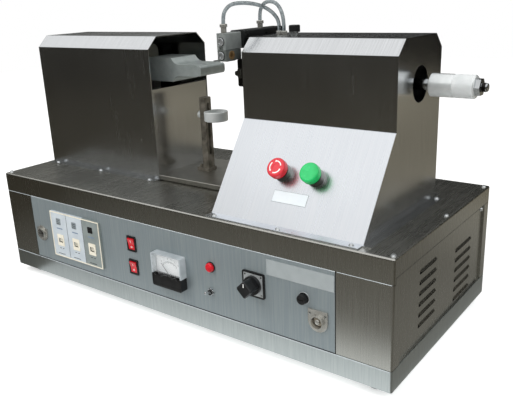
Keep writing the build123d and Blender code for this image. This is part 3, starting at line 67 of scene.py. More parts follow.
# the camera's right, up and back
camera_axes = ((0.8015, 0.5966, -0.0398), (-0.1535, 0.2696, 0.9507), (0.5779, -0.7559, 0.3077))
film_width_mm, lens_mm = 36, 45.13
link = bpy.context.scene.collection.objects.link
view = bpy.data.objects.new("camera", bpy.data.cameras.new("camera"))
view.data.sensor_width = film_width_mm
view.data.lens = lens_mm
view.matrix_world = Matrix.Translation(camera_at) @ Matrix(camera_axes).transposed().to_4x4()
link(view)
bpy.context.scene.camera = view


# Air hoses. Two clear grey polyurethane tubes of 6 mm run in a loop from the trimming cylinder to
# the roof of the right tower. They are pushed into their fittings and stand by their own stiffness.

hose_radius_mm, hose_sides = 3.0, 20
# for each hose its start and end in plan, its real length and its route: distance along the plan line
# and height above the table, the same points as in the part's source
hoses_mm = (
    ("front_hose", (498.0, 113.0), (545.0, 199.0), 142.5,
     ((0, 493), (0, 505.6), (6.3, 516.5), (17.2, 522.8), (39, 523.2), (60.5, 519.6), (77, 513),
      (89.6, 503.5), (98.0, 491), (98.0, 477))),
    ("rear_hose", (498.0, 210.0), (556.0, 196.0), 111.2,
     ((0, 493), (0, 505.6), (6.3, 516.5), (17.2, 522.8), (34, 523), (47, 517.5), (56, 505.5),
      (59.67, 491), (59.67, 477))),
)


def linear(code):
    """Turns an sRGB hex colour into linear values: the sRGB curve undone for each channel."""
    channels = [int(code[i:i + 2], 16) / 255 for i in (1, 3, 5)]
    return [c / 12.92 if c < 0.04045 else ((c + 0.055) / 1.055) ** 2.4 for c in channels] + [1.0]


def add(tree, kind, settings=None, links=None):
    """Adds a shader node and returns its outputs.

    Settings go to its properties or inputs, links join its inputs to sockets.
    """
    node = tree.nodes.new("ShaderNode" + kind)
    for name, value in (settings or {}).items():
        if isinstance(name, str) and name in node.bl_rna.properties:
            setattr(node, name, value)
        else:
            node.inputs[name].default_value = value
    for name, socket in (links or {}).items():
        tree.links.new(socket, node.inputs[name])
    return node.outputs


def surface(name, settings):
    """A new material. Returns it with its tree, its shader and the socket of the place in the mesh."""
    material = bpy.data.materials.new(name)
    material.use_nodes = True
    tree = material.node_tree
    shader = tree.nodes["Principled BSDF"]
    for key, value in settings.items():
        shader.inputs[key].default_value = value
    return material, tree, shader, add(tree, "TexCoord")["Object"]


def varied(tree, where, dark, light, size_mm, detail=2.0):
    """A cloud of noise about size_mm across, and the colour that wanders with it between two tones."""
    noise = add(tree, "TexNoise", {"Scale": 1000 / size_mm, "Detail": detail}, {"Vector": where})
    colour = add(tree, "ValToRGB", {}, {"Fac": noise["Fac"]})["Color"]
    for mark, position, code in zip(colour.node.color_ramp.elements, (0.3, 0.7), (dark, light)):
        mark.position = position
        mark.color = linear(code)
    return noise["Fac"], colour


def finished(tree, shader, colour, gloss=None, relief=None, metal=None):
    """Joins a colour and, where they are given, a gloss, a relief and a share of metal to a shader.

    Gloss and metal are a cloud or mask and the values at its two ends. The relief is a height, how
    strongly it shows and how deep it is in millimetres.
    """
    joined = {"Base Color": colour}
    for key, span in (("Roughness", gloss), ("Metallic", metal)):
        if span:
            ends = {"To Min": span[1], "To Max": span[2]}
            joined[key] = add(tree, "MapRange", ends, {"Value": span[0]})["Result"]
    if relief:
        height, strength, depth_mm = relief
        joined["Normal"] = add(tree, "Bump", {"Strength": strength, "Distance": depth_mm / 1000},
                               {"Height": height})["Normal"]
    for key, socket in joined.items():
        tree.links.new(socket, shader.inputs[key])


def clear_hose():
    """Clear grey polyurethane, drawn: bends light like soft plastic, with faint clouds of 6 mm."""
    material, tree, shader, where = surface("polyurethane_hose_clear_grey", {
        "Transmission Weight": 0.75, "Roughness": 0.12, "IOR": 1.5})
    haze, colour = varied(tree, where, "#737b7e", "#a3abad", 6.25)
    finished(tree, shader, colour, relief=(haze, 0.05, 0.3))
    return material


def mesh_object(name, vertices, faces, material):
    """A mesh object made from arrays, with its place in its mesh."""
    mesh = bpy.data.meshes.new(name)
    mesh.from_pydata(np.asarray(vertices, float).tolist(), [], faces)
    mesh.materials.append(material)
    made = bpy.data.objects.new(name, mesh)
    link(made)
    return made


def piece(name, vertices, faces, material, body, slot, smooth=True):
    """One closed skin of the machine, its faces turned outwards, on a body of the frame."""
    made = mesh_object(name, vertices, faces, material)
    shell = bmesh.new()
    shell.from_mesh(made.data)
    bmesh.ops.remove_doubles(shell, verts=shell.verts, dist=1e-7)
    bmesh.ops.recalc_face_normals(shell, faces=shell.faces)
    shell.to_mesh(made.data)
    shell.free()
    if smooth:
        made.data.shade_smooth()
        made.data.set_sharp_from_angle(angle=math.radians(32))
    if body:
        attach(made, body)
    return made


def loft(rings, capped=True):
    """Skin over rings: quads between neighbours, each ring closed on itself, and a flat cap at each end."""
    rings = np.asarray(rings, float)
    levels, around = rings.shape[:2]
    level, step = np.meshgrid(np.arange(levels - 1), np.arange(around), indexing="ij")
    after = (step + 1) % around
    here, beyond = level * around, (level + 1) * around
    quads = np.stack([here + step, here + after, beyond + after, beyond + step], -1).reshape(-1, 4)
    caps = [list(range(around))[::-1], list(range((levels - 1) * around, levels * around))]
    return rings.reshape(-1, 3), quads.tolist() + (caps if capped else [])


def circle(sides, first=0.0):
    """Corners on a circle of radius 1: the cosine and sine of equal steps of angle from the first."""
    angle = np.linspace(0, 2 * np.pi, sides, endpoint=False) + first
    return np.stack([np.cos(angle), np.sin(angle)], -1)


def read_back(curve):
    """Vertices and faces of the mesh that a curve gives, and the curve is removed."""
    holder = bpy.data.objects.new("drawn", curve)
    mesh = bpy.data.meshes.new_from_object(holder)
    places = np.empty(3 * len(mesh.vertices))
    mesh.vertices.foreach_get("co", places)
    faces = [list(face.vertices) for face in mesh.polygons]
    bpy.data.objects.remove(holder)
    bpy.data.meshes.remove(mesh)
    bpy.data.curves.remove(curve)
    return places.reshape(-1, 3), faces


def spline_line(route):
    """Points along the smooth curve whose control points are the route's."""
    curve = bpy.data.curves.new("route", "CURVE")
    curve.dimensions = "3D"
    spline = curve.splines.new("NURBS")
    spline.points.add(len(route) - 1)
    spline.points.foreach_set("co", np.c_[route, np.ones(len(route))].ravel())
    spline.order_u = 3
    spline.use_endpoint_u = True
    spline.resolution_u = 12
    return read_back(curve)[0]


hose_material = clear_hose()
for name, start, end, length_mm, route_mm in hoses_mm:
    along = (np.array(end) - start) / math.dist(start, end)
    steps = np.array(route_mm)
    route = bench(np.c_[np.array(start) + steps[:, :1] * along, steps[:, 1]])
    line = spline_line(route)
    tangent = np.gradient(line, axis=0)
    tangent /= np.linalg.norm(tangent, axis=1, keepdims=True)
    level = np.array((-along[1], along[0], 0.0))
    rise = np.cross(tangent, level)
    # each ring: the line's point plus the radius times cosine and sine along the two cross directions
    cosine, sine = circle(hose_sides).T[:, None, :, None]
    rings = line[:, None] + hose_radius_mm / 1000 * (cosine * level + sine * rise[:, None])
    hose = piece(name + "_line", *loft(rings), hose_material, None, "hose_clear")
    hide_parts(name)
    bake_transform(hose)


# Cabinet, lid and towers. They are folded from stainless sheet of 1.5 mm and fixed with dome screws.
# Their brushed grain runs upright on the walls and from front to back on the roofs.

def brushed_steel(name, dark, light, roughness, grain_mm=1.6, reach_mm=90.0, smear_mm=111.1):
    """Brushed stainless: long straight grain, cloudy smears and a satin gloss.

    A grain is grain_mm wide and about reach_mm long. The real grain is about 0.15 mm wide, too fine
    to show here, so it is drawn coarser. The noise runs fast along x, or along y on the end faces,
    and slowly along the other two.
    """
    material, tree, shader, where = surface(name, {"Metallic": 1.0})
    place = add(tree, "SeparateXYZ", {}, {"Vector": where})
    facing = add(tree, "SeparateXYZ", {}, {"Vector": where.node.outputs["Normal"]})
    sideways = add(tree, "Math", {"operation": "ABSOLUTE"}, {0: facing["X"]})[0]
    on_end = add(tree, "Math", {"operation": "GREATER_THAN", 1: 0.7}, {0: sideways})[0]
    across = add(tree, "Mix", {"data_type": "FLOAT"}, {0: on_end, 2: place["X"], 3: place["Y"]})[0]
    slow_y, slow_z = [add(tree, "Math", {"operation": "MULTIPLY", 1: grain_mm / reach_mm},
                          {0: place[axis]})[0] for axis in "YZ"]
    drawn = add(tree, "CombineXYZ", {}, {"X": across, "Y": slow_y, "Z": slow_z})["Vector"]
    grain, colour = varied(tree, drawn, dark, light, grain_mm, 3.0)
    smear = add(tree, "TexNoise", {"Scale": 1000 / smear_mm, "Detail": 3.0}, {"Vector": where})["Fac"]
    worn = add(tree, "Math", {"operation": "MULTIPLY"}, {0: grain, 1: smear})[0]
    finished(tree, shader, colour, (worn, roughness - 0.07, roughness + 0.2), (grain, 0.12, 0.2))
    return material


def dress(material, *names):
    """Gives CAD nodes a material in every slot they have."""
    for name in names:
        node = nodes[name]
        if not node.material_slots:
            node.data.materials.append(material)
        for slot in node.material_slots:
            slot.material = material


# The cabinet's sheet is warm and dull and the rolled skirt's satin. The towers' paler tone and the sloping
# panel's whitest one are painted light: copies of the same stainless sheet lightened for the sky on their
# upward faces.
dress(brushed_steel("stainless_brushed_cabinet", "#b9b8b2", "#c6c5bf", 0.27),
      "cabinet_body", "top_cover", "vent_panels")
dress(brushed_steel("stainless_brushed_towers", "#d3d5d7", "#dddfe1", 0.22),
      "left_tower_cover", "right_tower_cover", "tower_end_plates")
dress(brushed_steel("stainless_rolled_skirt", "#bec5c5", "#cdd3d2", 0.34, 2.2, 40.0), "base_tray")
dress(brushed_steel("stainless_brushed_painted_sky_light", "#e4e8ed", "#eef1f5", 0.3), "slant_panel")


# Rubber feet. Moulded black rubber, matt and finely eroded. Each is held to the tray by a screw from
# below.

def moulded(name, dark, light, roughness, texture_mm=0.9, texture=0.15, coat=0.0):
    """Moulded plastic or rubber, and lacquer or ink: even colour with a faint cloud 17 mm across.

    Its fine eroded texture is a tenth as wide in truth, and is drawn at texture_mm so that it shows.
    """
    material, tree, shader, where = surface(name, {
        "IOR": 1.49, "Coat Weight": coat, "Coat Roughness": 0.06})
    cloud, colour = varied(tree, where, dark, light, 16.667, 3.0)
    fine = add(tree, "TexNoise", {"Scale": 1000 / texture_mm, "Detail": 1.0}, {"Vector": where})["Fac"]
    finished(tree, shader, colour, (cloud, roughness - 0.05, roughness + 0.07), (fine, texture, 0.1))
    return material


dress(moulded("rubber_black", "#161616", "#222221", 0.7, 1.2, 0.3), "rubber_feet")


# Control panel. A blue-grey lacquered aluminium plate, let into the front of the cabinet, with a faint
# brushed grain under the lacquer.

def lacquered_panel():
    """Silk lacquer on brushed aluminium: blue-grey, with upright grain of 2 mm that only just shows.

    The grain is drawn about 33 times as long as it is wide, and coarser than the real one.
    """
    material, tree, shader, where = surface("lacquer_blue_grey_on_brushed_aluminium", {
        "IOR": 1.5, "Metallic": 0.35, "Coat Weight": 0.15, "Coat Roughness": 0.25})
    stretch = add(tree, "Mapping", {"Scale": (1.0, 1.0, 0.03)}, {"Vector": where})["Vector"]
    grain, colour = varied(tree, stretch, "#879296", "#949d9f", 2.0833)
    finished(tree, shader, colour, (grain, 0.36, 0.5), (grain, 0.06, 0.2))
    return material


dress(lacquered_panel(), "control_panel")


# Bare plates. Two thin lacquered plates are glued to the front: a wide one in the corner of the
# control panel, and a small white one under the push buttons, ringed by a thin grey rim of painted shadow.
# Both are left blank.

panel_face_mm = 0.3
slope_foot_mm, slope_tilt, slope_face_mm = (22.4, 212.0), math.radians(34.85), 1.5
slope_plate_at_mm, slope_backing_mm = (660.5, 45.2), 0.2


def on_panel(points):
    """Points with x from the left, height and distance out of the control panel, in bench millimetres."""
    points = np.asarray(points, float)
    return np.stack([points[..., 0], panel_face_mm - points[..., 2], points[..., 1]], -1)


def on_slope(points):
    """Points with x, distance up the sloping face and distance out of it, in bench millimetres."""
    points = np.asarray(points, float)
    x, up, out = points[..., 0], points[..., 1], points[..., 2]
    y = slope_foot_mm[0] + up * math.sin(slope_tilt) - out * math.cos(slope_tilt)
    z = slope_foot_mm[1] + up * math.cos(slope_tilt) + out * math.sin(slope_tilt)
    return np.stack([x, y, z], -1)


def soft_rectangle(width, height, corner, count=10):
    """Outline of a rectangle with round corners: quarter circles about the four corner centres."""
    quarter = np.linspace(0, np.pi / 2, count)
    angles = (quarter[None, :] + np.arange(4)[:, None] * np.pi / 2).ravel()
    signs = np.repeat([(1, 1), (-1, 1), (-1, -1), (1, -1)], count, axis=0)
    centres = signs * (width / 2 - corner, height / 2 - corner)
    return centres + corner * np.stack([np.cos(angles), np.sin(angles)], -1)


def raised(outlines):
    """Rings from pairs of a flat outline and its height above the face."""
    return np.array([np.c_[outline, np.full(len(outline), height)] for outline, height in outlines])


def soft_plate(centre, size, base, thickness, corner=1.5, edge=0.3):
    """Rings of a plate with softened edges: its outline at the base, drawn in by the edge at the top."""
    full = soft_rectangle(*size, corner) + centre
    less = soft_rectangle(size[0] - 2 * edge, size[1] - 2 * edge, max(corner - edge, 0.05)) + centre
    return raised(((full, base), (full, base + thickness - edge), (less, base + thickness)))


def join(skins):
    """Several skins as one: vertices end to end, faces counted on."""
    vertices = np.concatenate([skin[0] for skin in skins])
    starts = np.cumsum([0] + [len(skin[0]) for skin in skins[:-1]]).tolist()
    faces = [[i + start for i in face] for start, skin in zip(starts, skins) for face in skin[1]]
    return vertices, faces


def face_piece(name, skins, material, slot, body="frame", smooth=True, face=on_panel):
    """One piece from skins in millimetres that lie on a face of the machine, mostly the control panel's."""
    vertices, faces = join(skins)
    piece(name, bench(face(vertices)), faces, material, body, slot, smooth)


grey_lacquer_and_shadow_rim = moulded("lacquer_pale_grey_plate_and_shadow_rim", "#9aa1a2", "#a2a9aa", 0.4, 2.0, 0.05)
white_lacquer = moulded("lacquer_white_plate", "#dfe6ea", "#e5ebee", 0.4, 2.0, 0.05)
face_piece("bare_plate_panel", [loft(soft_plate((705, 156), (114, 25), 0, 0.5, 0.6, 0.15))],
           grey_lacquer_and_shadow_rim, "panel_steel")
# painted shadow: a grey sheet a little larger than the white plate, so that a thin shaded rim shows round
# it
face_piece("bare_plate_slope_shadow_rim", [loft(soft_plate(
    slope_plate_at_mm, (60.2, 18.7), slope_face_mm, slope_backing_mm, 0.6, 0.05))],
    grey_lacquer_and_shadow_rim, "bright_steel", face=on_slope)
face_piece("bare_plate_slope", [loft(soft_plate(
    slope_plate_at_mm, (59, 17.5), slope_face_mm + slope_backing_mm, 0.4, 0.6, 0.15))],
    white_lacquer, "bright_steel", face=on_slope)


# Edges of the front. Near-black strips of painted shadow fill the gaps at the foot and right end of the
# control panel and under the lid's ends, and pale strips of painted highlight lie on the folded edges of
# panel, lid and skirt.

# painted shadow: near-black strips where the gaps round the control panel and under the lid's ends fall in
# shade
gap_shadow_black = moulded("painted_gap_shadow_black", "#131315", "#1d1d1f", 0.6)
# painted highlight: pale strips where the folded edges of panel, lid and skirt catch the light
edge_highlight = moulded("painted_edge_highlight", "#c4ccd0", "#d3dade", 0.3)
cabinet_length_mm = 850
# strips stand on the cabinet's front face, which is y 0, and are let into it by 0.1 mm
strip_seat_mm, strip_thickness_mm = panel_face_mm - 0.1, 0.22
for name, centre, size, material in (
        ("panel_foot_gap_shadow", (420, 49.3), (687.2, 1.4), gap_shadow_black),
        ("panel_right_gap_shadow", (763.9, 112), (1.5, 126.6), gap_shadow_black),
        ("panel_top_edge_highlight", (420, 175.5), (686.4, 1.0), edge_highlight),
        ("lid_left_edge_highlight", (39, 175.6), (72, 0.8), edge_highlight),
        ("lid_right_edge_highlight", (806.5, 175.6), (81, 0.8), edge_highlight),
        ("skirt_rim_highlight", (424, 47.9), (846, 1.1), edge_highlight)):
    face_piece(name, [loft(soft_plate(centre, size, strip_seat_mm, strip_thickness_mm, 0.2, 0.05))],
               material, "panel_steel")
# a side strip is painted shadow under the lid's end: drawn with y, z and the distance out of the end wall,
# then laid on both ends
side_gap_shadow = soft_plate((185, 184.5), (352, 0.9), -0.6, 0.5, 0.2, 0.05)
for name, rings in (("side_gap_shadow_right", side_gap_shadow[..., [2, 0, 1]] + (cabinet_length_mm, 0, 0)),
                    ("side_gap_shadow_left", side_gap_shadow[:, ::-1, [2, 0, 1]] * (-1, 1, 1))):
    piece(name, *loft(bench(rings)), gap_shadow_black, "frame", "panel_steel")


# Timer bank. Three plug-in timers in one frame: pale plastic, the third one grey, each with a cream
# block round its two digit wheels, a small indicator above and short printed bars.

timer_left_mm, timer_pitch_mm, bank_up_mm, timer_face_mm = 139.5, 46.0, 111.5, 4.0
wheel_up_mm, wheel_axis_in_mm, wheel_radius_mm, wheel_offset_mm = 100.5, 8.0, 11.0, 3.1
indicator_up_mm, indicator_thickness_mm = 138, 0.6


def either(tree, where, mask, first, second, sizes_mm=(16.667, 16.667)):
    """Two clouded colours: the first where the mask is nought, the second where it is one.

    Returns the second's cloud and the colour.
    """
    near = varied(tree, where, *first, sizes_mm[0])[1]
    cloud, far = varied(tree, where, *second, sizes_mm[1])
    return cloud, add(tree, "Mix", {"data_type": "RGBA"}, {0: mask, 6: near, 7: far})[2]


def two_tone(name, first, second, edge_mm, axis, roughness=(0.4, 0.4), metallic=(0.0, 0.0)):
    """One node made of two stuffs: first below and second above a plane across an axis of the frame."""
    material, tree, shader, where = surface(name, {"IOR": 1.49})
    place = add(tree, "SeparateXYZ", {}, {"Vector": where})
    edge = (edge_mm - bench_origin_mm["XYZ".index(axis)]) / 1000
    side = add(tree, "Math", {"operation": "GREATER_THAN", 1: edge}, {0: place[axis]})[0]
    colour = either(tree, where, side, first, second)[1]
    fine = add(tree, "TexNoise", {"Scale": 1000 / 1.1111}, {"Vector": where})["Fac"]
    finished(tree, shader, colour, (side, *roughness), (fine, 0.1, 0.1), (side, *metallic))
    return material


dress(two_tone("abs_moulded_pale_and_grey", ("#b9c2c9", "#c6ced3"), ("#7f8886", "#8c9492"),
               timer_left_mm + 2 * timer_pitch_mm, "X", (0.42, 0.45)), "timer_bank")
# moulded parts are satin, printing ink is dull and flat, the smoked acrylic is dark and glossy
cream = moulded("abs_moulded_cream", "#e3dcc8", "#ece6d5", 0.38)
ink = moulded("printing_ink_black", "#17181a", "#202124", 0.55)
soft_blue = moulded("printing_ink_soft_blue", "#6f8299", "#7d8fa5", 0.55)
smoked = moulded("acrylic_smoked", "#0c0d0f", "#15171a", 0.12, coat=0.6)
grey_print = moulded("printing_ink_grey", "#7b8489", "#868f93", 0.5)


def bar(centre, size, base, thickness):
    """Rings of a plain raised bar."""
    return soft_plate(centre, size, base, thickness, min(size) * 0.2, min(thickness, min(size)) * 0.2)


def window_frame(centre, outer, inner, base, thickness):
    """Skin of a flat ring: outer wall, top, inner wall and underside between two soft rectangles."""
    wide = soft_rectangle(*outer, 1.0) + centre
    tight = soft_rectangle(*inner, 0.4) + centre
    top = base + thickness
    rings = raised(((wide, base), (wide, top), (tight, top), (tight, base), (wide, base)))
    return loft(rings, capped=False)


def lettering(text, size_mm):
    """Flat mesh of generic characters, centred on the origin, in millimetres."""
    curve = bpy.data.curves.new("mark", "FONT")
    curve.body = text
    curve.size = size_mm
    curve.align_x = "CENTER"
    curve.align_y = "CENTER"
    return read_back(curve)


# black print on a module: x from its middle, height, size, seat above the face, thickness
module_print_mm = (
    *[(-1, up, (9, 0.9), indicator_thickness_mm, 0.1) for up in (134, 137.6, 141.2)],
    (-4.2, 83.5, (4.6, 1.2), 0, 0.12),
    (4.2, 83.5, (4.6, 1.2), 0, 0.12),
    (-3, 72, (20, 1.1), 0, 0.12),
)
timer_middles_mm = [timer_left_mm + (index + 0.5) * timer_pitch_mm for index in range(3)]
blocks, prints, windows, blues = [], [], [], []
for middle, window_size in zip(timer_middles_mm, ((13, 13), (13, 13), (13, 12))):
    if middle > timer_middles_mm[0]:
        prints.append(loft(bar((middle - timer_pitch_mm / 2, bank_up_mm), (0.7, 86), timer_face_mm, 0.1)))
    blocks.append(window_frame((middle, wheel_up_mm), (19, 23), (12.4, 9.4), timer_face_mm, 0.9))
    windows.append(loft(soft_plate((middle - 1, indicator_up_mm), window_size, timer_face_mm,
                                   indicator_thickness_mm)))
    blues.append(loft(bar((middle, 124), (17, 2.2), timer_face_mm, 0.12)))
    for beside, up, size, seat, thickness in module_print_mm:
        prints.append(loft(bar((middle + beside, up), size, timer_face_mm + seat, thickness)))
blocks.append(window_frame((timer_middles_mm[1], bank_up_mm), (140.6, 90.6), (136.6, 86.6),
                           timer_face_mm, 0.6))
for name, skins, material in (
        ("timer_wheel_blocks", blocks, cream), ("timer_indicators", windows[:2], grey_print),
        ("timer_window_dark", windows[2:], smoked), ("timer_prints", prints, ink),
        ("timer_print_bars", blues, soft_blue)):
    face_piece(name, skins, material, "timer_plastic")

# Digit wheels: ten-sided, of smooth cream acetal, with the figures 0 to 9 printed round them.
wheel_plastic = moulded("acetal_cream_wheel", "#ded8c6", "#e9e4d4", 0.35)
wheel_side = math.radians(36)
figure_height_mm, figure_width_share = 6.4, 0.8
figure_out_mm = wheel_radius_mm * math.cos(wheel_side / 2) + 0.06
for index, middle in enumerate(timer_middles_mm):
    for place, side in (("tens", -1), ("units", 1)):
        wheel = f"timer_{index + 1}_{place}"
        dress(wheel_plastic, wheel)
        figures = []
        for figure in range(10):
            flat, faces = lettering(str(figure), figure_height_mm)
            # each figure stands on its own side of the wheel: turned by one side's angle about the axis
            turn_by = figure * wheel_side
            x = middle + side * wheel_offset_mm + flat[:, 0] * figure_width_share
            y = flat[:, 1] * math.sin(turn_by) - figure_out_mm * math.cos(turn_by)
            z = flat[:, 1] * math.cos(turn_by) + figure_out_mm * math.sin(turn_by)
            axis = (0, panel_face_mm + wheel_axis_in_mm, wheel_up_mm)
            figures.append((bench(np.stack([x, y, z], -1) + axis), faces))
        piece(wheel + "_figures", *join(figures), ink, wheel, "wheel_plastic", smooth=False)


# Rocker switches. Gloss red rockers snap into black nylon housings in the panel. Each is marked with a
# plain bar and ring in white print.

black_plastic = moulded("nylon_moulded_black", "#131313", "#1c1c1d", 0.42, 0.8, 0.12)
dress(black_plastic, "switch_bodies")
dress(moulded("polycarbonate_gloss_red", "#c41220", "#d51b28", 0.16, 1.5, 0.03, 0.5),
      "rocker_upper", "rocker_lower")
white_print = moulded("printing_ink_white", "#e9e9e6", "#f2f2f0", 0.5)
rocker_middle_mm, rocker_tilt, rocker_pivot_out_mm = 359.75, math.radians(9), 0.1
rocker_face_mm, rocker_rise = 1.9, 0.078
mark_up_mm, mark_thickness_mm = 5.3, 0.12


def turned(profile, middle=(0, 0), sides=24, first=0.0):
    """Rings of a turned part: a circle of each radius of the profile at its height, round the middle."""
    return raised([(circle(sides, first) * radius + middle, height) for radius, height in profile])


bar_mark = loft(bar((0, mark_up_mm), (0.9, 4.2), 0, mark_thickness_mm))
ring_mark = loft(turned(((1.9, 0), (1.9, mark_thickness_mm), (1.2, mark_thickness_mm), (1.2, 0), (1.9, 0)),
                        (0, -mark_up_mm)), capped=False)
marks, mark_faces = join([bar_mark, ring_mark])
# the rocker's face rises by rocker_rise for each millimetre from its middle, and all turns about the pivot
up = marks[:, 1]
out = marks[:, 2] + rocker_face_mm + rocker_rise * np.abs(up)
mark_y = panel_face_mm - rocker_pivot_out_mm - (out * math.cos(rocker_tilt) + up * math.sin(rocker_tilt))
mark_z = up * math.cos(rocker_tilt) - out * math.sin(rocker_tilt)
for name, height in (("rocker_upper", 132.5), ("rocker_lower", 89.0)):
    spots = bench(np.stack([marks[:, 0] + rocker_middle_mm, mark_y, mark_z + height], -1))
    piece(name + "_marks", spots, mark_faces, white_print, name, "red_rocker", smooth=False)


# Panel meter. A moving-coil meter with a white enamelled dial, a black pointer, a clear acrylic pane
# and a black lower cover, bolted into the panel. Its scale runs from 0 to 5 without a unit.

meter_middle_mm = 451.5
meter_pivot_mm = (meter_middle_mm, 96.0)
meter_window_low_mm, meter_window_high_mm, meter_window_half_mm = 98.2, 131.8, 30.7
scale_half, scale_radius_mm, arc_half_mm, number_radius_mm = math.radians(42), 24.0, 0.2, 28.6
print_low_mm, print_top_mm = 3.44, 3.52


def meter_housing():
    """Clear acrylic hood over a black base: pale beside and above the window, gloss black below it."""
    material, tree, shader, where = surface("acrylic_hood_over_black_base", {
        "IOR": 1.49, "Roughness": 0.15})
    place = add(tree, "SeparateXYZ", {}, {"Vector": where})
    middle = bench((meter_middle_mm, 0, 0))[0]
    beside = add(tree, "Math", {"operation": "SUBTRACT", 1: middle}, {0: place["X"]})[0]
    beside = add(tree, "Math", {"operation": "ABSOLUTE"}, {0: beside})[0]
    outer, above, upper = [
        add(tree, "Math", {"operation": "GREATER_THAN", 1: edge_mm / 1000}, {0: socket})[0]
        for edge_mm, socket in ((meter_window_half_mm, beside), (meter_window_high_mm, place["Z"]),
                                (meter_window_low_mm, place["Z"]))]
    edge = add(tree, "Math", {"operation": "MAXIMUM"}, {0: outer, 1: above})[0]
    pale = add(tree, "Math", {"operation": "MULTIPLY"}, {0: edge, 1: upper})[0]
    cloud, colour = either(tree, where, pale, ("#101011", "#191919"), ("#aab2b6", "#bdc4c8"))
    finished(tree, shader, colour, relief=(cloud, 0.05, 0.2))
    return material


def prism(outline, low, top):
    """Skin of a flat shape: its outline at two heights, capped."""
    return loft(raised(((outline, low), (outline, top))))


def scale_marks(count, inner, outer, width):
    """Thin bars across the scale: one for each equal step of angle, from the inner to the outer radius."""
    skins = []
    for angle in np.linspace(-scale_half, scale_half, count):
        across = np.array((math.cos(angle), -math.sin(angle))) * width / 2
        away = np.array((math.sin(angle), math.cos(angle)))
        corners = np.array([away * inner - across, away * inner + across,
                            away * outer + across, away * outer - across])
        skins.append(prism(corners + meter_pivot_mm, print_low_mm, print_top_mm))
    return skins


def clear_pane():
    """Clear acrylic, cast: lets the dial show under a thin gloss, with haze 25 mm across."""
    material, tree, shader, where = surface("acrylic_clear_pane", {"Alpha": 0.14, "IOR": 1.49})
    haze, colour = varied(tree, where, "#e4eaec", "#f2f5f6", 25)
    finished(tree, shader, colour, (haze, 0.02, 0.07))
    return material


dress(meter_housing(), "meter_case")
# the dial's enamel is smooth and white, the pointer's lacquer black and satin
dial_white = moulded("enamel_white_dial", "#eef0f1", "#f6f7f7", 0.45)
face_piece("meter_dial", [loft(soft_plate((meter_middle_mm, 115.9), (61, 36), 3.05, 0.4, 0.6, 0.1))],
           dial_white, "meter_plastic")
arc = np.linspace(-scale_half, scale_half, 40)
arc_points = np.stack([np.sin(arc), np.cos(arc)], -1)
arc_outline = np.concatenate([arc_points * (scale_radius_mm + arc_half_mm),
                              arc_points[::-1] * (scale_radius_mm - arc_half_mm)])
arc_skin = prism(arc_outline + meter_pivot_mm, print_low_mm, print_top_mm)
numbers = []
for value, angle in enumerate(np.linspace(-scale_half, scale_half, 6)):
    flat, faces = lettering(str(value), 4.4)
    spot = number_radius_mm * np.array((math.sin(angle), math.cos(angle))) + meter_pivot_mm
    numbers.append((flat + (*spot, print_top_mm), faces))
fine_marks = scale_marks(26, 22, scale_radius_mm, 0.3)
main_marks = scale_marks(6, 20.4, scale_radius_mm, 0.6)
face_piece("meter_scale", fine_marks + main_marks + [arc_skin] + numbers, ink, "meter_plastic",
           smooth=False)
dress(moulded("lacquer_black_pointer", "#101010", "#1a1a1a", 0.4), "meter_needle")
dress(clear_pane(), "meter_window")


# Screws. Turned steel heads hold the sheets, the meter, the selector's plate, the sockets and the
# trimming head. Most are domed, plated bright or black, and the trimming head's have a hexagon socket.

def polished(name, dark, light, roughness, metallic=1.0):
    """Plated or polished metal: clean colour, with clouds of 11 mm in its gloss."""
    material, tree, shader, where = surface(name, {"Metallic": metallic})
    cloud, colour = varied(tree, where, dark, light, 11.111)
    finished(tree, shader, colour, (cloud, max(roughness - 0.05, 0.02), roughness + 0.08))
    return material


chrome = polished("chromium_plated_bright", "#cdd1d3", "#dfe2e3", 0.16, 0.8)
zinc = polished("zinc_plated_steel", "#aeb0ae", "#c4c6c4", 0.26)
dress(chrome, "dome_screws")


def socket_head(radius, height, socket=0.5, depth=0.6):
    """Rings of a turned head with a hexagon socket: side, rounded rim, flat top, then down inside.

    The socket's radius at an angle is the distance of its flat over the cosine of the angle from the
    flat's middle.
    """
    sides = 24
    angle = np.linspace(0, 2 * np.pi, sides, endpoint=False)
    from_flat = (angle + np.pi / 6) % (np.pi / 3) - np.pi / 6
    disc = circle(sides) * radius
    hexagon = disc / np.cos(from_flat)[:, None] * socket
    floor_height = height * (1 - depth)
    return raised(((disc, 0), (disc, height * 0.8), (disc * 0.93, height), (hexagon, height),
                   (hexagon, floor_height), (hexagon * 0.2, floor_height * 0.9)))


def domed_head(radius, height):
    """Rings of a domed head: the height falls as the square of the distance from the middle."""
    shares = (0.98, 0.85, 0.6, 0.3, 0.06)
    dome = [(radius * share, height * (1 - 0.6 * share ** 2)) for share in shares]
    return turned([(radius, 0)] + dome)


def heads_on_panel(name, spots, radius, height, base, material, slot):
    """Several domed heads on the control panel as one piece."""
    face_piece(name, [loft(domed_head(radius, height) + (*spot, base)) for spot in spots], material, slot)


heads_on_panel("meter_cover_screws", ((427.5, 98), (475.5, 98)), 2.2, 0.9, 14.5, black_plastic,
               "meter_plastic")
heads_on_panel("meter_zero_screw", ((451.5, 92),), 2.6, 1.2, 5.0, zinc, "meter_plastic")


# Indicator lamp and toggle switch. The lamp has a domed red lens in its own black bezel, the toggle a
# chromium-plated nut and bat lever. Both are held by nuts through the panel.

lamp_at_mm, lens_radius_mm, toggle_at_mm = (539.5, 130.5), 7.62, (537, 87)


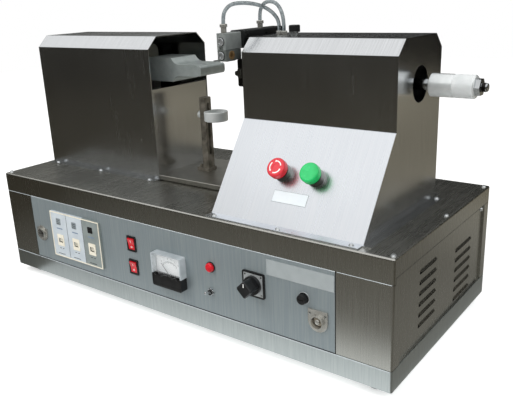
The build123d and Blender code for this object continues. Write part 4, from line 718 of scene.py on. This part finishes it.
def disc_on(name, centre_mm, plane, radius_mm, inner, outer, settings, metallic=(0.0, 0.0)):
    """One node of two stuffs: the inner within a radius of an axis, the outer round it.

    The axis runs through the centre and square to the plane, which is given as two letters.
    """
    material, tree, shader, where = surface(name, settings)
    kept = tuple(1.0 if letter in plane else 0.0 for letter in "XYZ")
    spot = tuple(bench(centre_mm) * kept)
    flat = add(tree, "VectorMath", {"operation": "MULTIPLY", 1: kept}, {0: where})["Vector"]
    away = add(tree, "VectorMath", {"operation": "DISTANCE", 1: spot}, {0: flat})["Value"]
    beyond = add(tree, "Math", {"operation": "GREATER_THAN", 1: radius_mm / 1000}, {0: away})[0]
    cloud, colour = either(tree, where, beyond, inner, outer, (5, 12.5))
    rough = settings["Roughness"]
    finished(tree, shader, colour, (cloud, rough - 0.04, rough + 0.08), metal=(beyond, *metallic))
    return material


dress(disc_on("polycarbonate_red_lens_in_black_bezel", (lamp_at_mm[0], 0, lamp_at_mm[1]), "XZ",
              lens_radius_mm, ("#a80d19", "#dd2130"), ("#1a1a1b", "#262627"),
              {"IOR": 1.58, "Roughness": 0.1}), "pilot_lamp")
dress(chrome, "toggle_lever")
face_piece("toggle_nut", [loft(turned(((6.35, 0), (6.35, 1.9), (5.9, 2.2), (4.5, 2.2)),
                                      toggle_at_mm, 6, math.pi / 6))], chrome, "chrome_trim", smooth=False)


# Rotary selector and fuse holder. The selector has a black frame with a satin metal face, four small
# screws and a moulded black grip with a white line, the fuse holder a black cap in a metal rim.

selector_at_mm, selector_grip_mm, fuse_at_mm = (624.0, 122.0), 26.4, (712.7, 122.8)
dress(black_plastic, "selector_plate", "fuse_holder", "fuse_cap")
dress(moulded("phenolic_moulded_black", "#151617", "#212224", 0.3, 0.8, 0.08, 0.2), "selector_knob")


def milled(name, dark, light, roughness, step_mm=1.4, metallic=1.0):
    """Machined metal: faint parallel tool marks a little over a millimetre apart, satin gloss.

    Real tool marks are finer and are drawn step_mm wide. The wave pattern has 3.2 marks to a unit.
    """
    material, tree, shader, where = surface(name, {"Metallic": metallic})
    cloud, colour = varied(tree, where, dark, light, 14.286, 3.0)
    marks = add(tree, "TexWave", {
        "Scale": 1000 / step_mm / 3.2, "Distortion": 1.5, "Detail": 1.0, "wave_type": "BANDS",
        "bands_direction": "DIAGONAL"}, {"Vector": where})["Fac"]
    finished(tree, shader, colour, (cloud, roughness - 0.06, roughness + 0.1), (marks, 0.08, 0.2))
    return material


face_metal = milled("aluminium_satin_selector_face", "#c2c7c9", "#d2d6d7", 0.4, 1.0, 0.6)
face_piece("selector_face", [window_frame(selector_at_mm, (35, 35), (19, 19), 2.5, 0.2)], face_metal,
           "selector_metal", smooth=False)
heads_on_panel("selector_screws", ((609, 107), (609, 137), (639, 107), (639, 137)), 1.7, 0.8, 2.7, zinc,
               "selector_metal")
pointer_at_mm = (624.0, 129.4)
face_piece("selector_pointer", [loft(bar(pointer_at_mm, (1.6, 6.0), selector_grip_mm, 0.14))], white_print,
           "knob_plastic", "selector_knob", smooth=False)
rim_profile_mm = ((9.3, 0), (9.3, 0.5), (8.9, 0.8), (8.55, 0.8), (8.55, 0), (9.3, 0))
face_piece("fuse_rim", [loft(turned(rim_profile_mm, fuse_at_mm, 32), capped=False)], face_metal,
           "chrome_trim")


# Sockets. Nickel-plated round connectors in screwed flanges: at the left with five pins, at the right
# with a single thick pole. Their insulating cores are pressed plastic, one dark and one cream.

left_socket_mm, right_socket_mm, core_foot_mm, core_mm = (101, 102.5), (736, 92), -8.4, 8.6
nickel = polished("nickel_plated_brass", "#bbbab3", "#cfcec8", 0.22, 0.75)
dress(nickel, "front_sockets", "ram_fittings", "roof_fittings")
dark_core = moulded("phenolic_brown_black", "#1b1917", "#272421", 0.5)
pale_core = moulded("phenolic_cream", "#a59c8b", "#b8b0a0", 0.45)


def round_post(middle, radius, low, high):
    """Skin of a round post with a domed end, out of the panel."""
    return loft(turned(((radius, low), (radius, high - 0.3 * radius), (radius * 0.8, high - 0.08 * radius),
                        (radius * 0.45, high)), middle, 20))


# five of six places on a circle of 4.6 mm have a pin
pins = [round_post(4.6 * place + left_socket_mm, 0.9, -8, 3.0) for place in circle(6)[:5]]
for name, posts, material in (
        ("left_socket_core", [round_post(left_socket_mm, core_mm, core_foot_mm, -2.0)], dark_core),
        ("left_socket_pins", pins, nickel),
        ("right_socket_pole", [round_post(right_socket_mm, 4.0, core_foot_mm, 4.5)], nickel),
        ("right_socket_core", [round_post(right_socket_mm, core_mm, core_foot_mm, 0.5)], pale_core)):
    face_piece(name, posts, material, "socket_nickel")
socket_screws_mm = ((88.7, 111), (113.3, 111), (723.2, 103), (748.8, 103))
heads_on_panel("socket_screws", socket_screws_mm, 1.9, 0.9, 2.0, zinc, "socket_nickel")


# Push buttons. A red emergency-stop head that twists to unlock and a green start head, both moulded
# and glossy, on turned aluminium collars screwed into the sloping face.

dress(moulded("abs_gloss_red", "#cf2231", "#dc3340", 0.22, 1.4, 0.04, 0.4), "estop_head")
dress(moulded("abs_gloss_green", "#16b25c", "#25c870", 0.25, 1.4, 0.04, 0.4), "start_head")
dress(polished("aluminium_turned_collar", "#8f8f8c", "#a9a9a5", 0.28), "button_collars", "estop_stem")
stop_at_mm, head_top_mm, arrow_thickness_mm = (636.0, 82.0), 26.5, 0.12
arrow_sweep, arrow_inner_mm, arrow_outer_mm = 78, 8.3, 10.1


def arrow_outline(first):
    """Outline of a ring-shaped arrow: a run between two radii from an angle in degrees, then its head."""
    last = first + arrow_sweep
    angle = np.radians(np.linspace(first, last, 24))
    run = np.stack([np.cos(angle), np.sin(angle)], -1)
    tip = np.radians(last + 14)
    point = (arrow_inner_mm + arrow_outer_mm) / 2 * np.array((math.cos(tip), math.sin(tip)))
    head = np.array([(arrow_outer_mm + 0.9) * run[-1], point, (arrow_inner_mm - 0.9) * run[-1]])
    return np.concatenate([run * arrow_outer_mm, head, run[::-1] * arrow_inner_mm]) + stop_at_mm


arrows = [prism(arrow_outline(first), head_top_mm, head_top_mm + arrow_thickness_mm)
          for first in (20, 140, 260)]
face_piece("stop_arrows", arrows, white_print, "stop_red", "estop_head", smooth=False, face=on_slope)


# Bed plate, post and nest. The bed plate, the stack's clamp and the cylinder's bracket are milled steel,
# the post is darker and worn, and the ring is turned aluminium, nearly white. All are screwed down.

dress(milled("steel_milled", "#a5a39c", "#b7b5ae", 0.36), "bed_plate", "stack_clamp", "cylinder_bracket")
dress(milled("steel_milled_worn", "#5d584f", "#a29c90", 0.42, 1.4, 0.6), "nest_post")
dress(milled("aluminium_turned", "#dde2e1", "#ecefee", 0.34, 0.9, 0.45), "nest_ring")


# Sealing stack. Horn and booster are titanium with a ground, silver-grey satin skin; the converter
# is an anodised aluminium can, duller and greyer, as the air cylinder is. They screw end to end.

dress(milled("titanium_ground", "#a9b2b0", "#bac2c0", 0.36, 1.1, 0.6), "horn", "booster")
dress(milled("aluminium_anodised_natural", "#9a9d9e", "#aeb1b2", 0.42), "converter", "air_cylinder")


# Ram, cylinder and stroke adjuster. Blackened steel plates with a soft sheen carry a ground anvil and
# slide on mirror-like chromed rods. The adjuster on the rod's end is plated pale, with a knurled grip.

blackened = milled("steel_blackened", "#2b2a29", "#3a3836", 0.42)
dress(blackened, "ram_plate", "anvil_holder")
dress(milled("tool_steel_ground", "#8e918f", "#a3a5a3", 0.24), "anvil", "knife")
dress(polished("steel_hard_chromed", "#b5b8ba", "#c9cccd", 0.14), "ram_rods")
dress(polished("steel_satin_plated", "#dfe3e3", "#eef1f1", 0.22, 0.5), "stroke_knob")
knurled_metal = milled("steel_knurled_matt", "#e2e6e6", "#f3f5f5", 0.5, 0.9, 0.3)
axis_mm = (190.5, 403.5)
knurl_from_mm, knurl_to_mm, knurl_crest_mm, knurl_end_mm, knurl_depth_mm = 845.4, 874.0, 16.5, 16.05, 0.6
knurl_ridges, knurl_slant = 24, 1.45
thread_from_mm, thread_to_mm, thread_pitch_mm = 883.2, 888.6, 1.5
thread_root_mm, thread_depth_mm, thread_end_mm = 6.04, 0.42, 5.95


def sleeve(start, end, steps, sides):
    """Grids of the length along the ram's axis and of the angle round it, for a skin round the axis."""
    angles = np.linspace(0, 2 * np.pi, sides, endpoint=False)
    return np.meshgrid(np.linspace(start, end, steps), angles, indexing="ij")


def about_axis(length, angle, radius, end_radius):
    """Points round the ram's axis: x along it, y and z by the radius times cosine and sine.

    At both ends the radius is the end radius.
    """
    radius[0] = radius[-1] = end_radius
    return bench(np.stack([length + 0 * angle, axis_mm[0] + radius * np.cos(angle),
                           axis_mm[1] + radius * np.sin(angle)], -1))


# Knurl: the radius rises to its crest where two families of slanting lines cross, and falls between them.
along, around = sleeve(knurl_from_mm, knurl_to_mm, 70, 192)
wave = (np.abs(np.sin(knurl_ridges * around + along * knurl_slant))
        * np.abs(np.sin(knurl_ridges * around - along * knurl_slant)))
knurl_radius = knurl_crest_mm - knurl_depth_mm * (1 - np.clip(wave * 1.6, 0, 1))
piece("adjuster_knurl", *loft(about_axis(along, around, knurl_radius, knurl_end_mm)), knurled_metal,
      "stroke_knob", "chrome_trim")

# Thread: the radius follows a triangle wave of the length along the axis less the angle round it, with
# one wave for each pitch.
along, around = sleeve(thread_from_mm, thread_to_mm, 55, 48)
phase = (along / thread_pitch_mm - around / (2 * np.pi)) % 1
thread_radius = thread_root_mm + thread_depth_mm * (1 - np.abs(2 * phase - 1))
piece("adjuster_thread", *loft(about_axis(along, around, thread_radius, thread_end_mm)), blackened, "ram",
      "rod_chrome")


# Trimming head. A silver end block and slide with large socket screws and a brass bush, in front of
# a black anodised profile cylinder. The ram carries it all.

dress(milled("aluminium_cast_satin", "#9ba19f", "#acb2b0", 0.4, 1.4, 0.6), "trim_cap")
dress(moulded("anodised_black_profile", "#101112", "#1a1b1c", 0.28, 0.6, 0.06, 0.3), "trim_body")
slide_axis_mm, bush_radius_mm = (505.5, 121.0, 444.35), 7.02
dress(disc_on("aluminium_grey_slide_with_brass_bush", slide_axis_mm, "YZ", bush_radius_mm,
              ("#8d744f", "#a98a62"), ("#767c79", "#8a908d"), {"Roughness": 0.36}, (0.5, 0.6)),
      "knife_slide")
head_face_mm, head_screw_mm, washer_mm = 105.95, 496.75, 0.35


def facing_front(x, y, z, rings):
    """Skin of a head moved onto a face that looks to the front: local height points along minus y."""
    return loft(bench(np.stack([rings[..., 0] + x, y - rings[..., 2], rings[..., 1] + z], -1)))


def facing_left(x, y, z, rings):
    """Skin of a head moved onto a face that looks to the left: local height points along minus x."""
    return loft(bench(np.stack([x - rings[..., 2], rings[..., 0] + y, rings[..., 1] + z], -1)))


for name, height, body in (("trim_cap_screw", 466.0, "ram"),
                           ("knife_slide_screw", slide_axis_mm[2], "knife_slide")):
    washer = facing_front(head_screw_mm, head_face_mm, height, domed_head(7.1, 0.5))
    screw = facing_front(head_screw_mm, head_face_mm - washer_mm, height, socket_head(6.2, 2.2, 0.55))
    piece(name + "_washer", *washer, blackened, body, "trim_grey")
    piece(name, *screw, chrome, body, "trim_grey")
plate_face_mm = 519.6
plate_bolts = [facing_left(plate_face_mm, y, z, socket_head(3.2, 3.4))
               for y in (150.5, 230.5) for z in (378.0, 427.0)]
piece("ram_plate_bolts", *join(plate_bolts), blackened, "ram", "blackened_steel")


# Valves, rear inlets and the generator. The roof valve has a bright plated base under its black moulded
# coil, the air inlet is nickel-plated beside the black mains inlet, and the generator's case is painted.

valve_base_top_mm, inlet_parting_mm = 477.5, 430.0
dress(two_tone("valve_plated_base_black_coil", ("#d5d8da", "#e6e8e9"), ("#111112", "#1b1b1c"),
               valve_base_top_mm, "Z", (0.2, 0.4), (1.0, 0.0)), "air_valves")
dress(two_tone("inlet_black_plastic_and_nickel", ("#141414", "#1d1d1e"), ("#a9a69d", "#bebbb2"),
               inlet_parting_mm, "X", (0.45, 0.24), (0.0, 1.0)), "rear_inlets")
dress(moulded("powder_coat_grey", "#6f7679", "#7d8487", 0.5, 0.7, 0.3), "generator_box")
inlet_at_mm, inlet_floor_mm, pin_length_mm = (160, 80), 361.8, 9
pins = []
for beside, above in ((-7, 0), (0, 4), (7, 0)):
    pin = soft_plate((inlet_at_mm[0] + beside, inlet_at_mm[1] + above), (2.0, 4.5), 0, pin_length_mm, 0.4)
    pins.append(loft(bench(np.stack([pin[..., 0], inlet_floor_mm + pin[..., 2], pin[..., 1]], -1))))
piece("mains_pins", *join(pins), nickel, "frame", "inlet_black")


# Floor and light. A plain pale floor under a white sky. Polished steel would show nothing but that
# white, so grey cloths lie and hang round the machine, as they do where metal is photographed; only
# reflections see them.

floor_half, cloth_half, cloth_height, wall_radius = 4.0, 3.0, 0.002, 3.0


def square(half, height):
    """Corners of a flat square round the origin, at a height."""
    return [(-half, -half, height), (half, -half, height), (half, half, height), (-half, half, height)]


def seen_rays(tree):
    """One for rays from the camera, through glass or off a gloss, and nought for the rest."""
    rays = add(tree, "LightPath")
    seen = add(tree, "Math", {"operation": "MAXIMUM"},
               {0: rays["Is Camera Ray"], 1: rays["Is Transmission Ray"]})[0]
    return add(tree, "Math", {"operation": "MAXIMUM"}, {0: seen, 1: rays["Is Glossy Ray"]})[0]


def cloth(name, vertices, faces, runs, stops, shades):
    """A grey cloth that only reflections see.

    Its tone follows the stops upwards, or outwards from the machine's plan, in metres. Each shade then
    multiplies it along an axis, from one place to another, by a first to a last factor.
    """
    material, tree, shader, where = surface(name, {})
    place = add(tree, "SeparateXYZ", {}, {"Vector": where})
    along = place["Z"]
    if runs == "outwards":
        # distance outside the plan: the larger of |x| - 0.205 and |y| - 0.187. Beside the machine's ends
        # the tone starts dark at once, so x counts only from 0.41 on.
        spans = []
        for letter, half, start in (("X", 0.205, 0.41), ("Y", 0.187, 0.0)):
            size = add(tree, "Math", {"operation": "ABSOLUTE"}, {0: place[letter]})[0]
            span = add(tree, "Math", {"operation": "SUBTRACT", 1: half}, {0: size})[0]
            past = add(tree, "Math", {"operation": "GREATER_THAN", 1: start}, {0: size})[0]
            spans.append(add(tree, "Math", {"operation": "MULTIPLY"}, {0: span, 1: past})[0])
        along = add(tree, "Math", {"operation": "MAXIMUM"}, {0: spans[0], 1: spans[1]})[0]
    tone = add(tree, "ValToRGB", {}, {"Fac": along})["Color"]
    marks = tone.node.color_ramp.elements
    for mark, (position, code) in zip(marks, (stops[0], stops[-1])):
        mark.position = position
        mark.color = linear(code)
    for position, code in stops[1:-1]:
        marks.new(position).color = linear(code)
    strength = None
    for letter, low, high, first, last in shades:
        reach = {"From Min": low, "From Max": high, "To Min": first, "To Max": last}
        shade = add(tree, "MapRange", reach, {"Value": place[letter]})["Result"]
        strength = shade if strength is None else add(
            tree, "Math", {"operation": "MULTIPLY"}, {0: strength, 1: shade})[0]
    glow = add(tree, "Emission", {}, {"Color": tone, "Strength": strength})[0]
    tree.links.new(glow, tree.nodes["Material Output"].inputs["Surface"])
    hung = mesh_object(name, vertices, faces, material)
    hung.visible_camera = hung.visible_diffuse = hung.visible_shadow = hung.visible_transmission = False


# White paper, matt: it keeps the machine's shadow, and glows a little where the camera or a gloss sees it.
paper, tree, shader, place = surface("paper_white_floor", {
    "Roughness": 0.9, "Specular IOR Level": 0.0, "Base Color": linear("#efefee"),
    "Emission Color": (1, 1, 1, 1)})
lift = add(tree, "Math", {"operation": "MULTIPLY", 1: 0.42}, {0: seen_rays(tree)})[0]
tree.links.new(lift, shader.inputs["Emission Strength"])
mesh_object("floor", square(floor_half, 0), [(0, 1, 2, 3)], paper)

cloth("floor_cloth", square(cloth_half, cloth_height), [(0, 1, 2, 3)], "outwards",
      ((0.0, "#f4f6f6"), (0.07, "#e2e6e6"), (0.16, "#7b7a75"), (0.45, "#706e67"), (0.6, "#5b574d"),
       (1.0, "#555147")),
      (("X", -0.75, 0.35, 0.62, 1.2), ("X", 0.45, 0.7, 1.0, 0.75), ("X", 1.15, 1.6, 1.0, 2.6),
       ("Y", 0.3, 0.85, 0.9, 2.3)))
# The hung cloth rises behind the machine: its height follows 1 plus 0.8 times the sixth power of the
# sine of the angle, where that is above nought.
wall_plan = circle(48)
wall_rise = 1 + 0.8 * np.clip(wall_plan[:, 1], 0, 1) ** 6
wall, wall_faces = loft([np.c_[wall_plan * wall_radius, wall_rise * level]
                         for level in (0.0, 0.6, 1.2, 1.9)], capped=False)
cloth("wall_cloth", wall, wall_faces, "upwards",
      ((0.0, "#2b2925"), (0.6, "#3b3a36"), (1.0, "#6a6b68")),
      (("Z", 1.25, 1.9, 1.0, 3.0), ("Y", 1.9, 2.7, 1.0, 0.2)))

sky = bpy.data.worlds.new("sky")
bpy.context.scene.world = sky
sky.use_nodes = True
tree = sky.node_tree
light, white = [add(tree, "Background", {"Strength": strength, "Color": (1, 1, 1, 1)})[0]
                for strength in (0.75, 1.0)]
choice = add(tree, "MixShader", {}, {0: seen_rays(tree), 1: light, 2: white})[0]
tree.links.new(choice, tree.nodes["World Output"].inputs["Surface"])

# two soft lamps, with their place and size in metres and their power, aimed at the machine's middle
lamp_aim = Vector((0, 0, 0.2))
for name, place, size, energy in (("lamp_key", (-0.9, -1.6, 1.9), 1.4, 26),
                                  ("lamp_side", (2.0, -0.6, 1.6), 1.2, 14)):
    lamp = bpy.data.lights.new(name, "AREA")
    lamp.size = size
    lamp.energy = energy
    holder = bpy.data.objects.new(name, lamp)
    aim = (Vector(place) - lamp_aim).to_track_quat("Z", "Y").to_matrix().to_4x4()
    holder.matrix_world = Matrix.Translation(place) @ aim
    holder.visible_glossy = False
    link(holder)

bpy.context.scene.view_settings.view_transform = "Standard"
